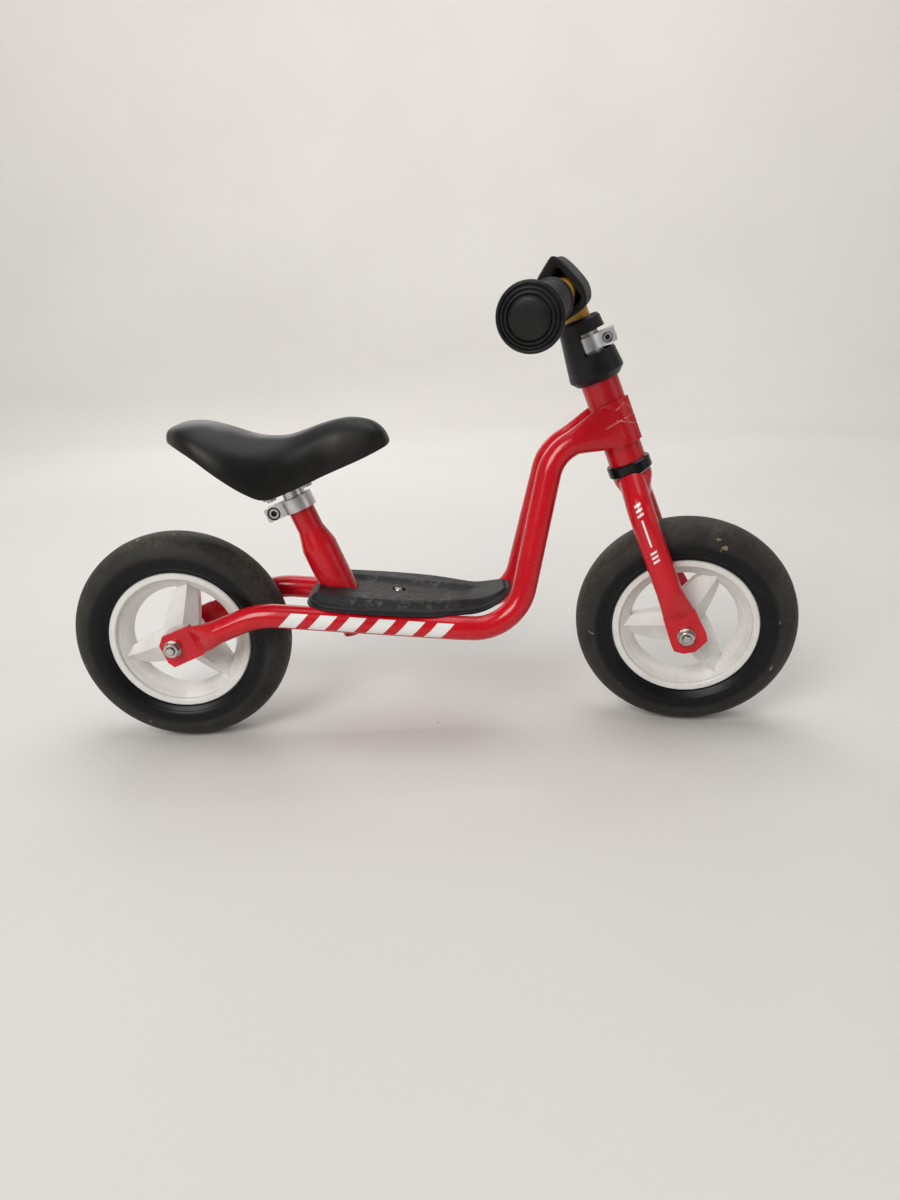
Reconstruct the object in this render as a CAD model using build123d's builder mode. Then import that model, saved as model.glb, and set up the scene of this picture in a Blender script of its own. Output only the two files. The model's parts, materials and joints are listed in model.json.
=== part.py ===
from build123d import *
from math import cos, radians, sin, sqrt, tan
import os

# Child's balance bike. Millimetres. X points forward, Y to the rider's left, Z up.
# The origin is on the ground in the centre plane, midway between the two axles.
# The bike stands with its handlebar and front wheel turned a little to the right.

# ---- Driving dimensions ----
wheelbase = 481.4
tyre_radius = 102.5
tyre_half_width = 24.5
rim_radius = 67.1
rim_half_width = 17.8
steering_tilt = 21.15          # head tube, degrees back from the vertical
steering_angle = -12.2         # fork as modelled, degrees, negative to the right
seat_tilt = 21.3               # seat tube, degrees back from the vertical
frame_tube_radius = 11.0
fork_tube_radius = 11.5
bar_radius = 11.0
tube_wall = 1.8

# Axles and dropouts, measured outwards from the wheel's centre plane
bearing_radius = 11.0
bearing_bore = 4.0
bearing_inner_face = 12.0
bearing_outer_face = 19.0
dropout_inner_face = 31.8
dropout_outer_face = 36.2
washer_outer_face = 37.8
nut_outer_face = 44.0
axle_half_length = 46.0
axle_radius = 4.0

# Head tube and steering, heights are along the steering axis from the front axle
head_tube_radius = 16.5
head_tube_bore = 14.9
head_tube_bottom = 166.0
head_tube_top = 243.0
steerer_radius = 12.7
stem_radius = 11.0
running_gap = 0.05
crown_top = 154.0
crown_bottom = 134.0
steerer_top = 283.0
clamp_bottom = 268.0
clamp_top = 280.0
lug_height = 202.6             # middle of the flattened frame tube ends
lug_half_height = 19.6
lug_radius = 20.4
lug_front_angle = 33.0         # where the lug stops, degrees from straight ahead

# Seat tube, distances are along the seat axis from seat_point
seat_point = (-88.8, 0, 149.6)
seat_tube_radius = 16.5
seat_neck_radius = 12.0
seatpost_radius = 10.5
seat_tube_bottom = -48.9
seat_tube_top = 91.0
seat_clamp_bottom = 78.5
seat_plate_bottom = 98.5
seat_plate_top = 101.5

# Footboard
board_pitch = 5.57             # degrees, front end down
board_thickness = 12.0

# ---- Frames of reference ----
rear_centre = Vector(-wheelbase / 2, 0, tyre_radius)
front_centre = Vector(wheelbase / 2, 0, tyre_radius)
rear_frame = Plane(origin=rear_centre, x_dir=(1, 0, 0), z_dir=(0, 0, 1))
head_frame = Plane(
    origin=front_centre,
    x_dir=(cos(radians(steering_tilt)), 0, sin(radians(steering_tilt))),
    z_dir=(-sin(radians(steering_tilt)), 0, cos(radians(steering_tilt))),
)
fork_frame = Plane(
    origin=front_centre,
    x_dir=head_frame.x_dir.rotate(Axis((0, 0, 0), head_frame.z_dir), steering_angle),
    z_dir=head_frame.z_dir,
)
seat_frame = Plane(
    origin=seat_point,
    x_dir=(cos(radians(seat_tilt)), 0, sin(radians(seat_tilt))),
    z_dir=(-sin(radians(seat_tilt)), 0, cos(radians(seat_tilt))),
)
board_frame = Plane(
    origin=(-32.7, 0, 132.9),
    x_dir=(cos(radians(board_pitch)), 0, -sin(radians(board_pitch))),
    z_dir=(sin(radians(board_pitch)), 0, cos(radians(board_pitch))),
)
sides = {"right": -1, "left": 1}


def side_plane(frame):
    """Centre plane of a frame: x forward, y up, its normal to the right."""
    return Plane(origin=frame.origin, x_dir=frame.x_dir, z_dir=-frame.y_dir)


def axle_plane(frame):
    """Plane through the axle: x along the axle to the left, y up."""
    return Plane(origin=frame.origin, x_dir=frame.y_dir, z_dir=frame.x_dir)


def axle_axis(frame):
    return Axis(frame.origin, frame.y_dir)


def upright_axis(frame):
    return Axis(frame.origin, frame.z_dir)


def local_plane(frame, point, z_dir, x_dir):
    """Plane at a point given in a frame's own coordinates."""
    origin = frame.from_local_coords(Vector(*point))
    normal = frame.from_local_coords(Vector(*z_dir)) - frame.origin
    across = frame.from_local_coords(Vector(*x_dir)) - frame.origin
    return Plane(origin=origin, x_dir=across, z_dir=normal)


def save(piece, name):
    piece.part.label = name
    export_step(piece.part, f"parts/{name}.step")


def sleeve(frame, inner, outer, bottom, top):
    """Plain round tube or ring along a frame's z axis."""
    with BuildPart() as ring:
        with BuildSketch(frame.offset(bottom)):
            Circle(outer)
            Circle(inner, mode=Mode.SUBTRACT)
        extrude(amount=top - bottom)
    return ring


# ---- Wheels ----
def make_tyre(frame):
    """Solid foam tyre, seated in the channel of the rim."""
    with BuildPart() as tyre:
        with BuildSketch(axle_plane(frame)):
            with BuildLine():
                Spline(
                    (0, tyre_radius),
                    (12.5, 100.4),
                    (20.8, 94.2),
                    (tyre_half_width, 84.5),
                    (23.2, 75.5),
                    (18.2, rim_radius + 0.4),
                    tangents=[(1, 0), (-0.65, -1)],
                )
                Polyline(
                    (18.2, rim_radius + 0.4),
                    (14.6, rim_radius + 0.4),
                    (14.6, 63.2),
                    (9.9, 58.6),
                    (0, 53.5),
                    (0, tyre_radius),
                )
            make_face()
            mirror(about=Plane.YZ)
        revolve(axis=axle_axis(frame))
    return tyre


def make_blade():
    """One spoke along +X: a leaf with a raised ridge on each face, wider on one side of it."""
    ridge, edge, reach = 13.5, 5.0, 60.0
    wide_root, narrow_root = 20.0, 12.5
    with BuildPart() as blade:
        for x in (4, 20, 34, 46, 57):
            taper = sqrt(1 - (x / reach) ** 2)
            wide, narrow = wide_root * taper, narrow_root * taper
            with BuildSketch(Plane.YZ.offset(x)):
                with BuildLine():
                    Polyline(
                        (0, ridge),
                        (wide, edge),
                        (wide, -edge),
                        (0, -ridge),
                        (-narrow, -edge),
                        (-narrow, edge),
                        close=True,
                    )
                make_face()
        loft()
    return blade


def make_rim(frame, first_spoke):
    """Moulded rim with a waisted barrel, three blades and a bearing hub."""
    blade = make_blade()
    with BuildPart(side_plane(frame)) as rim:
        with BuildSketch(axle_plane(frame)):
            with BuildLine():
                ThreePointArc((0, 49.4), (7.2, 51.9), (13.2, 57.6))
                Polyline(
                    (13.2, 57.6),
                    (14.6, 60.2),
                    (17.0, 60.6),
                    (rim_half_width, 61.6),
                    (rim_half_width, rim_radius - 1),
                    (rim_half_width - 1, rim_radius),
                    (0, rim_radius),
                    (0, 49.4),
                )
            make_face()
            mirror(about=Plane.YZ)
        revolve(axis=axle_axis(frame))
        with PolarLocations(0, 3, start_angle=first_spoke):
            add(blade.part)
        with BuildSketch(side_plane(frame)):
            Circle(15)
        extrude(amount=bearing_outer_face, both=True)
        with BuildSketch(axle_plane(frame)):
            with BuildLine():
                Polyline(
                    (0, 53.4),
                    (9.9, 58.5),
                    (14.6, 63.1),
                    (14.6, rim_radius + 5),
                    (0, rim_radius + 5),
                    close=True,
                )
            make_face()
            mirror(about=Plane.YZ)
        revolve(axis=axle_axis(frame), mode=Mode.SUBTRACT)
        with BuildSketch(side_plane(frame)):
            Circle(7)
        extrude(amount=bearing_outer_face, both=True, mode=Mode.SUBTRACT)
        for side in sides.values():
            with BuildSketch(side_plane(frame).offset(side * bearing_inner_face)):
                Circle(bearing_radius)
            extrude(amount=side * (bearing_outer_face - bearing_inner_face), mode=Mode.SUBTRACT)
    return rim


ball_pitch = 7.5
ball_radius = 1.98
race_radius = 2.05
bearing_middle = (bearing_inner_face + bearing_outer_face) / 2


def make_bearing_rings(frame, inner, outer):
    """A pair of grooved races, one in each end of the hub."""
    with BuildPart() as rings:
        with BuildSketch(axle_plane(frame)):
            for side in sides.values():
                with Locations((side * bearing_middle, (inner + outer) / 2)):
                    Rectangle(bearing_outer_face - bearing_inner_face, outer - inner)
                with Locations((side * bearing_middle, ball_pitch)):
                    Circle(race_radius, mode=Mode.SUBTRACT)
        revolve(axis=axle_axis(frame))
    return rings


def make_bearing_balls(frame):
    with BuildPart() as balls:
        for side in sides.values():
            with Locations(side_plane(frame).offset(side * bearing_middle)):
                with PolarLocations(ball_pitch, 7):
                    Sphere(ball_radius)
    return balls


def make_axle(frame):
    """Threaded rod with chamfered ends."""
    with BuildPart() as axle:
        with BuildSketch(side_plane(frame)):
            Circle(axle_radius)
        extrude(amount=axle_half_length, both=True)
        chamfer(axle.edges().filter_by(GeomType.CIRCLE), 0.8)
    return axle


def make_spacers(frame):
    """Stepped sleeves between each bearing and its dropout."""
    with BuildPart() as spacers:
        with BuildSketch(axle_plane(frame)):
            for side in sides.values():
                with BuildLine():
                    Polyline(
                        (side * bearing_outer_face, axle_radius + 0.1),
                        (side * bearing_outer_face, 5.8),
                        (side * (bearing_outer_face + 2), 5.8),
                        (side * (bearing_outer_face + 2), 8),
                        (side * dropout_inner_face, 8),
                        (side * dropout_inner_face, axle_radius + 0.1),
                        close=True,
                    )
                make_face()
        revolve(axis=axle_axis(frame))
    return spacers


def make_washers(frame):
    with BuildPart() as washers:
        for side in sides.values():
            with BuildSketch(side_plane(frame).offset(side * dropout_outer_face)):
                Circle(8)
                Circle(axle_radius + 0.2, mode=Mode.SUBTRACT)
            extrude(amount=side * (washer_outer_face - dropout_outer_face))
    return washers


def make_nuts(frame):
    """Hexagon nuts with rounded crowns on both axle ends."""
    with BuildPart() as nuts:
        for side in sides.values():
            with BuildSketch(side_plane(frame).offset(side * washer_outer_face)):
                RegularPolygon(6.5, 6, major_radius=False)
                Circle(axle_radius, mode=Mode.SUBTRACT)
            extrude(amount=side * (nut_outer_face - washer_outer_face))
        with BuildSketch(axle_plane(frame)):
            with BuildLine():
                Polyline(
                    (-nut_outer_face, 0),
                    (-nut_outer_face, 6.2),
                    (-nut_outer_face + 1.2, 7.6),
                    (nut_outer_face - 1.2, 7.6),
                    (nut_outer_face, 6.2),
                    (nut_outer_face, 0),
                    close=True,
                )
            make_face()
        revolve(axis=axle_axis(frame), mode=Mode.INTERSECT)
    return nuts


for end, frame, first_spoke in (
    ("rear", rear_frame, 76.5),
    ("front", fork_frame, 63.0 - steering_tilt),
):
    save(make_tyre(frame), f"{end}_tyre")
    save(make_rim(frame, first_spoke), f"{end}_rim")
    save(make_bearing_rings(frame, 9.1, bearing_radius), f"{end}_bearing_outer_rings")
    save(make_bearing_rings(frame, bearing_bore, 5.9), f"{end}_bearing_inner_rings")
    save(make_bearing_balls(frame), f"{end}_bearing_balls")
    save(make_axle(frame), f"{end}_axle")
    save(make_spacers(frame), f"{end}_spacers")
    save(make_washers(frame), f"{end}_washers")
    save(make_nuts(frame), f"{end}_axle_nuts")

# ---- Frame tubes ----
# Points are distances ahead of the rear axle, out from the centre plane, and above the ground.
stay_rise = 21.5               # degrees, from the dropout up to the first bend
dropout_middle = (dropout_inner_face + dropout_outer_face) / 2
tube_spread = 45.0
stay_start = 46.0              # where the flattening of the rear end begins
tube_route = [
    (stay_start, tube_spread, tyre_radius + stay_start * tan(radians(stay_rise))),
    (85.0, tube_spread, 136.0),
    (265.0, tube_spread, 117.8),
    (317.0, 39.5, 112.5),
    (352.3, 17.6, 266.8),
    (370.0, 17.6, 276.6),
]
tube_bends = (70, 80, 45, 38)
overlap, swell = 0.2, 0.1      # each flattened end starts just inside the tube and a hair wider


def route_point(x, y, z, side):
    return Vector(x - wheelbase / 2, side * y, z)


def tube_centreline(side):
    with BuildLine() as centreline:
        FilletPolyline(*[route_point(*point, side) for point in tube_route], radius=tube_bends)
    return centreline.line


def wall_left(half_thick):
    """Wall of a squashed tube, which leaves a thin slit where it is quite flat."""
    return min(tube_wall + 2 * swell, half_thick - 0.3)


def flattening_planes(side):
    """Sections from the round tube down to the flat dropout: plane, half thickness, half height."""
    along = Vector(cos(radians(stay_rise)), 0, sin(radians(stay_rise)))
    drop = Vector(sin(radians(stay_rise)), 0, -cos(radians(stay_rise)))
    planes = []
    for distance, spread, half_thick, half_tall, lower in (
        (stay_start + overlap, tube_spread, frame_tube_radius + swell, frame_tube_radius + swell, 0.0),
        (34.0, 42.0, 8.0, 13.0, 0.8),
        (19.0, dropout_middle, 2.2, 15.2, 1.6),
    ):
        origin = rear_centre + along * (distance / cos(radians(stay_rise)))
        origin = origin + drop * lower + Vector(0, side * spread, 0)
        planes.append((Plane(origin=origin, x_dir=(0, 1, 0), z_dir=-along), half_thick, half_tall))
    return planes


def make_frame_tube(side):
    """One bent side tube: flat dropout, running section and flattened head lug."""
    centreline = tube_centreline(side)
    with BuildPart() as tube:
        with BuildSketch(Plane(origin=centreline @ 0, x_dir=(0, 1, 0), z_dir=centreline % 0)):
            Circle(frame_tube_radius)
            Circle(frame_tube_radius - tube_wall, mode=Mode.SUBTRACT)
        sweep(path=centreline)
        # Flattened rear end
        for plane, half_thick, half_tall in flattening_planes(side):
            with BuildSketch(plane):
                Ellipse(half_thick, half_tall)
                Ellipse(half_thick - wall_left(half_thick), half_tall - tube_wall, mode=Mode.SUBTRACT)
        loft()
        stay_plane = Plane(
            origin=rear_centre + Vector(0, side * dropout_inner_face, 0),
            x_dir=(cos(radians(stay_rise)), 0, sin(radians(stay_rise))),
            z_dir=(0, -1, 0),
        )
        with BuildSketch(stay_plane):
            with BuildLine():
                Polyline(
                    (24, 14),
                    (-4, 14),
                    (-11, 7),
                    (-11.5, -11),
                    (-8, -17.4),
                    (24, -16.6),
                    close=True,
                )
            make_face()
            Circle(axle_radius + 0.2, mode=Mode.SUBTRACT)
        extrude(amount=-side * (dropout_outer_face - dropout_inner_face))
        # Flattened front end, hugging the head tube
        front_end = (centreline @ 1) - (centreline % 1) * overlap
        with BuildSketch(Plane(origin=front_end, x_dir=(0, 1, 0), z_dir=centreline % 1)):
            Circle(frame_tube_radius + swell)
        for forward, spread, half_thick, half_tall in (
            (-24.0, 17.8, 7.4, 15.6),
            (-10.0, 17.9, 4.0, 19.0),
            (2.0, 18.7, 2.4, lug_half_height),
        ):
            section = local_plane(
                head_frame, (forward, side * spread, lug_height), (1, 0, 0.05), (0, 1, 0)
            )
            with BuildSketch(section):
                Ellipse(half_thick, half_tall)
        loft()
        with BuildSketch(head_frame.offset(lug_height - lug_half_height)):
            Circle(lug_radius)
            with BuildLine():
                Polyline(
                    (0, 0),
                    (2 * lug_radius, side * 2 * lug_radius * tan(radians(lug_front_angle))),
                    (2 * lug_radius, side * 3 * lug_radius),
                    (-2 * lug_radius, side * 3 * lug_radius),
                    close=True,
                )
            make_face(mode=Mode.INTERSECT)
        extrude(amount=2 * lug_half_height)
        with BuildSketch(head_frame.offset(head_tube_bottom)):
            Circle(head_tube_radius)
        extrude(amount=head_tube_top - head_tube_bottom, mode=Mode.SUBTRACT)
    return tube


for name, side in sides.items():
    save(make_frame_tube(side), f"frame_tube_{name}")

save(
    sleeve(head_frame, head_tube_bore, head_tube_radius, head_tube_bottom, head_tube_top),
    "head_tube",
)

# ---- Seat tube and cross pieces ----
seat_slit = 2.0
with BuildPart() as seat_tube:
    with BuildSketch(side_plane(seat_frame)):
        with BuildLine():
            Polyline(
                (seat_tube_radius, seat_tube_bottom),
                (seat_tube_radius, 41),
                (seat_neck_radius, 58),
                (seat_neck_radius, seat_tube_top),
                (seatpost_radius + running_gap, seat_tube_top),
                (seatpost_radius + running_gap, 57),
                (seat_tube_radius - tube_wall, 40),
                (seat_tube_radius - tube_wall, seat_tube_bottom),
                close=True,
            )
        make_face()
    revolve(axis=upright_axis(seat_frame))
    with BuildSketch(seat_frame.offset(seat_tube_top - 26)):
        with Locations((-12, 0)):
            Rectangle(12, seat_slit)
    extrude(amount=26, mode=Mode.SUBTRACT)
save(seat_tube, "seat_tube")

stay_slope = (117.8 - 136.0) / (265.0 - 85.0)
stay_direction = Vector(1, 0, stay_slope)
cross_point = (-80.5, 0, 128.4)
with BuildPart() as seat_cross_tubes:
    with BuildSketch(Plane(origin=cross_point, x_dir=(1, 0, 0), z_dir=(0, -1, 0))):
        Circle(9)
        Circle(7.4, mode=Mode.SUBTRACT)
    extrude(amount=tube_spread - 8, both=True)
    with BuildSketch(seat_frame.offset(seat_tube_bottom)):
        Circle(seat_tube_radius)
    extrude(amount=80, mode=Mode.SUBTRACT)
    for side in sides.values():
        with BuildSketch(
            Plane(origin=route_point(85, tube_spread, 136, side), x_dir=(0, 1, 0), z_dir=stay_direction)
        ):
            Circle(frame_tube_radius)
        extrude(amount=170, mode=Mode.SUBTRACT)
save(seat_cross_tubes, "seat_cross_tubes")

bracket_half_width = 12.5
with BuildPart() as board_bracket:
    with BuildSketch(board_frame.offset(-3.2)):
        Rectangle(2 * bracket_half_width, 2 * (tube_spread - 5))
    extrude(amount=3)
    with BuildSketch(board_frame.offset(-9)):
        Circle(5)
    extrude(amount=8.8)
    with BuildSketch(board_frame.offset(-9)):
        Circle(2.5)
    extrude(amount=8.8, mode=Mode.SUBTRACT)
    for side in sides.values():
        with BuildSketch(
            Plane(origin=route_point(85, tube_spread, 136, side), x_dir=(0, 1, 0), z_dir=stay_direction)
        ):
            Circle(frame_tube_radius)
        extrude(amount=170, mode=Mode.SUBTRACT)
save(board_bracket, "footboard_bracket")

# ---- Footboard ----
board_rear = -83.0
board_tip = 105.0
board_outline = [
    (board_rear, 0), (-82.8, 20), (-81, 36), (-68, 50), (-25, 55.4),
    (20, 54), (49, 46), (68, 37.5), (88, 31), (98, 23),
]
with BuildPart() as footboard:
    with BuildSketch(side_plane(board_frame)):
        with BuildLine():
            Polyline((66, board_thickness), (-90, board_thickness), (-90, 0), (70, 0))
            Spline((70, 0), (86, 4.5), (board_tip, 18.5), tangents=[(1, 0), (0.6, 0.8)])
            Line((board_tip, 18.5), (board_tip - 1.5, 23.5))
            Spline(
                (board_tip - 1.5, 23.5),
                (88, 14.8),
                (66, board_thickness),
                tangents=[(-0.85, -0.5), (-1, 0)],
            )
        make_face()
    extrude(amount=60, both=True)
    with BuildSketch(board_frame):
        with BuildLine():
            Spline(
                *board_outline,
                (board_tip, 8),
                (board_tip, 0),
                tangents=[(0, 1), (0, -1)],
            )
            Line((board_tip, 0), (board_rear, 0))
        make_face()
        mirror(about=Plane.XZ)
    extrude(amount=40, mode=Mode.INTERSECT)
    with BuildSketch(seat_frame.offset(-40)):
        Circle(seat_tube_radius + 0.5)
    extrude(amount=80, mode=Mode.SUBTRACT)
    with BuildSketch(board_frame):
        Circle(2.8)
    extrude(amount=board_thickness, mode=Mode.SUBTRACT)
    with BuildSketch(board_frame.offset(board_thickness - 4)):
        Circle(6)
    extrude(amount=4, mode=Mode.SUBTRACT)
    for side in sides.values():
        centreline = tube_centreline(side)
        with BuildSketch(Plane(origin=centreline @ 0, x_dir=(0, 1, 0), z_dir=centreline % 0)):
            Circle(frame_tube_radius + 0.3)
        sweep(path=centreline, mode=Mode.SUBTRACT)
save(footboard, "footboard")

with BuildPart() as footboard_screw:
    with BuildSketch(side_plane(board_frame)):
        with BuildLine():
            Polyline((0, -8), (2.5, -8), (2.5, board_thickness - 4), (4.2, board_thickness - 4))
            ThreePointArc(
                (4.2, board_thickness - 4), (3.4, board_thickness - 2), (0, board_thickness - 1.2)
            )
            Line((0, board_thickness - 1.2), (0, -8))
        make_face()
    revolve(axis=upright_axis(board_frame))
    with BuildSketch(board_frame.offset(board_thickness - 3)):
        RegularPolygon(1.5, 6, major_radius=False)
    extrude(amount=3, mode=Mode.SUBTRACT)
save(footboard_screw, "footboard_screw")


# ---- Clamps: a split collar with two ears, a socket bolt and a nut ----
def make_collar(frame, bore, outer, bottom, top, ear_reach, ear_half_width, bolt_at, bolt_radius):
    """ear_reach and bolt_at are along the frame's x axis and are negative for rear ears."""
    height = top - bottom
    middle = (top + bottom) / 2
    with BuildPart() as collar:
        with BuildSketch(frame.offset(bottom)):
            Circle(outer)
            with Locations((ear_reach / 2, 0)):
                Rectangle(abs(ear_reach), 2 * ear_half_width)
            Circle(bore, mode=Mode.SUBTRACT)
            with Locations((ear_reach / 2, 0)):
                Rectangle(abs(ear_reach) + 2, seat_slit, mode=Mode.SUBTRACT)
        extrude(amount=height)
        ear_ends = collar.edges().filter_by(Axis(frame.origin, frame.y_dir))
        fillet(ear_ends.sort_by(lambda e: -abs(frame.to_local_coords(e.center()).X))[0:4], 1.5)
        bolt_plane = local_plane(frame, (bolt_at, 0, middle), (0, -1, 0), (1, 0, 0))
        with BuildSketch(bolt_plane):
            Circle(bolt_radius + 0.1)
        extrude(amount=ear_half_width + 2, both=True, mode=Mode.SUBTRACT)
        with BuildSketch(bolt_plane.offset(ear_half_width - 4)):
            Circle(bolt_radius * 1.8)
        extrude(amount=4, mode=Mode.SUBTRACT)
    return collar


def make_clamp_bolt(frame, bottom, top, ear_half_width, bolt_at, bolt_radius):
    """Socket head bolt, its head sunk in the right ear."""
    bolt_plane = local_plane(frame, (bolt_at, 0, (top + bottom) / 2), (0, -1, 0), (1, 0, 0))
    with BuildPart() as bolt:
        with BuildSketch(bolt_plane.offset(-ear_half_width - 6)):
            Circle(bolt_radius)
        extrude(amount=2 * ear_half_width + 2)
        with BuildSketch(bolt_plane.offset(ear_half_width - 4)):
            Circle(bolt_radius * 1.7)
        extrude(amount=3.6)
        chamfer(bolt.faces().sort_by(Axis(bolt_plane.origin, bolt_plane.z_dir))[-1].edges(), 0.5)
        with BuildSketch(bolt_plane.offset(ear_half_width - 3)):
            RegularPolygon(bolt_radius * 0.85, 6, major_radius=False)
        extrude(amount=3, mode=Mode.SUBTRACT)
    return bolt


def make_clamp_nut(frame, bottom, top, ear_half_width, bolt_at, bolt_radius):
    nut_plane = local_plane(
        frame, (bolt_at, ear_half_width, (top + bottom) / 2), (0, 1, 0), (1, 0, 0)
    )
    with BuildPart() as nut:
        with BuildSketch(nut_plane):
            RegularPolygon(bolt_radius * 1.65, 6, major_radius=False)
            Circle(bolt_radius, mode=Mode.SUBTRACT)
        extrude(amount=4.5)
    return nut


save(
    make_collar(seat_frame, seat_neck_radius, 15.2, seat_clamp_bottom, seat_tube_top, -30, 9.5, -22.5, 3),
    "seat_clamp",
)
save(make_clamp_bolt(seat_frame, seat_clamp_bottom, seat_tube_top, 9.5, -22.5, 3), "seat_clamp_bolt")
save(make_clamp_nut(seat_frame, seat_clamp_bottom, seat_tube_top, 9.5, -22.5, 3), "seat_clamp_nut")
save(
    make_collar(fork_frame, steerer_radius, 16.2, clamp_bottom, clamp_top, 26, 10.5, 19.8, 2.2),
    "stem_clamp",
)
save(make_clamp_bolt(fork_frame, clamp_bottom, clamp_top, 10.5, 19.8, 2.2), "stem_clamp_bolt")
save(make_clamp_nut(fork_frame, clamp_bottom, clamp_top, 10.5, 19.8, 2.2), "stem_clamp_nut")

# ---- Steering bushes, washer and nut ----
bush_bore = steerer_radius + running_gap
with BuildPart() as head_lower_bush:
    with BuildSketch(side_plane(head_frame)):
        with BuildLine():
            Polyline(
                (bush_bore, crown_top + 1.05),
                (18.4, crown_top + 1.05),
                (19.7, crown_top + 2.4),
                (19.7, head_tube_bottom - 1.2),
                (18.6, head_tube_bottom),
                (head_tube_bore, head_tube_bottom),
                (head_tube_bore, head_tube_bottom + 15),
                (bush_bore, head_tube_bottom + 15),
                close=True,
            )
        make_face()
    revolve(axis=upright_axis(head_frame))
save(head_lower_bush, "head_lower_bush")

with BuildPart() as head_upper_bush:
    with BuildSketch(side_plane(head_frame)):
        with BuildLine():
            Polyline(
                (bush_bore, head_tube_top - 15),
                (head_tube_bore, head_tube_top - 15),
                (head_tube_bore, head_tube_top),
                (16.4, head_tube_top),
                (16.4, head_tube_top + 3),
                (bush_bore, head_tube_top + 3),
                close=True,
            )
        make_face()
    revolve(axis=upright_axis(head_frame))
save(head_upper_bush, "head_upper_bush")

save(sleeve(fork_frame, steerer_radius, 17, crown_top, crown_top + 1), "crown_washer")
save(
    sleeve(fork_frame, steerer_radius, 17.5, head_tube_top + 3.05, head_tube_top + 8),
    "steerer_nut",
)

# ---- Fork ----
with BuildPart() as steerer_tube:
    with BuildSketch(fork_frame.offset(crown_top - 8)):
        Circle(steerer_radius)
        Circle(stem_radius + running_gap, mode=Mode.SUBTRACT)
    extrude(amount=steerer_top - crown_top + 8)
    with BuildSketch(fork_frame.offset(steerer_top - 24)):
        with Locations((12, 0)):
            Rectangle(12, seat_slit)
    extrude(amount=24, mode=Mode.SUBTRACT)
save(steerer_tube, "steerer_tube")

with BuildPart() as fork_crown:
    for height, along, across in (
        (crown_top, 17.2, 17.2),
        (147.0, 16.6, 18.5),
        (140.0, 13.6, 27.0),
        (crown_bottom, 12.2, 31.0),
    ):
        with BuildSketch(fork_frame.offset(height)):
            Ellipse(along, across)
    loft()
    with BuildSketch(fork_frame.offset(crown_top - 8)):
        Circle(steerer_radius)
    extrude(amount=8, mode=Mode.SUBTRACT)
save(fork_crown, "fork_crown")

leg_offset = -1.0              # leg centreline ahead of the steering axis
leg_spread = 38.0
leg_end = 46.0                 # where the flattening of the leg begins, above the axle


def make_fork_leg(side):
    """Bent leg, flattened into a dropout plate at its lower end."""
    with BuildPart() as leg:
        with BuildLine(fork_frame) as centreline:
            FilletPolyline(
                (leg_offset, side * 14, 150),
                (leg_offset, side * leg_spread, 126),
                (leg_offset, side * leg_spread, leg_end),
                radius=32,
            )
        start = centreline.line @ 0
        with BuildSketch(Plane(origin=start, x_dir=fork_frame.x_dir, z_dir=centreline.line % 0)):
            Circle(fork_tube_radius)
            Circle(fork_tube_radius - tube_wall, mode=Mode.SUBTRACT)
        sweep(path=centreline.line)
        for height, spread, half_thick, half_wide, ahead in (
            (leg_end + overlap, leg_spread, fork_tube_radius + swell, fork_tube_radius + swell, leg_offset),
            (32.0, 36.6, 7.4, 13.0, -0.4),
            (18.0, dropout_middle, 2.2, 14.8, 0.4),
        ):
            with BuildSketch(
                local_plane(fork_frame, (ahead, side * spread, height), (0, 0, -1), (0, 1, 0))
            ):
                Ellipse(half_thick, half_wide)
                Ellipse(half_thick - wall_left(half_thick), half_wide - tube_wall, mode=Mode.SUBTRACT)
        loft()
        plate = side_plane(fork_frame).offset(-side * dropout_inner_face)
        with BuildSketch(plate):
            with BuildLine():
                Polyline(
                    (14.9, 22),
                    (17.5, -4),
                    (16.4, -11),
                    (2.8, -18.4),
                    (-7.6, -17),
                    (-15, -12),
                    (-15.5, -4),
                    (-14.4, 22),
                    close=True,
                )
            make_face()
            Circle(axle_radius + 0.2, mode=Mode.SUBTRACT)
        extrude(amount=-side * (dropout_outer_face - dropout_inner_face))
        add(fork_crown.part, mode=Mode.SUBTRACT)
        with BuildSketch(fork_frame.offset(crown_bottom)):
            Circle(steerer_radius)
        extrude(amount=30, mode=Mode.SUBTRACT)
    return leg


for name, side in sides.items():
    save(make_fork_leg(side), f"fork_leg_{name}")

# ---- Clamp cover ----
with BuildPart() as clamp_cover:
    with BuildSketch(side_plane(fork_frame)):
        with BuildLine():
            Polyline(
                (16.9, 242),
                (19, 242),
                (24, 247.5),
                (24, 250),
                (19.2, 287),
                (18.6, 293.5),
                (16.5, 296),
                (stem_radius + 0.4, 296),
                (stem_radius + 0.4, 293.5),
                (16.2, 292),
                (17, 286),
                (21.6, 250),
                (21.6, 248),
                (16.9, 244),
                close=True,
            )
        make_face()
    revolve(axis=upright_axis(fork_frame))
    with BuildSketch(fork_frame.offset(265.5)):
        with Locations((14.5, 0)):
            Rectangle(35, 60)
    extrude(amount=18.5, mode=Mode.SUBTRACT)
    with BuildSketch(side_plane(fork_frame)):
        with Locations((22, 274.5)):
            Rectangle(22, 14)
    extrude(amount=30, both=True, mode=Mode.SUBTRACT)
save(clamp_cover, "clamp_cover")

# ---- Handlebar ----
bar_centre = (2.0, 0.0, 323.0)
bar_end = (-14.4, 177.0, 316.3)
grip_inner = 92.0              # distance of the grip's inner end from the centre plane
grip_length = 96.5
pad_half_width = 52.0

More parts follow.
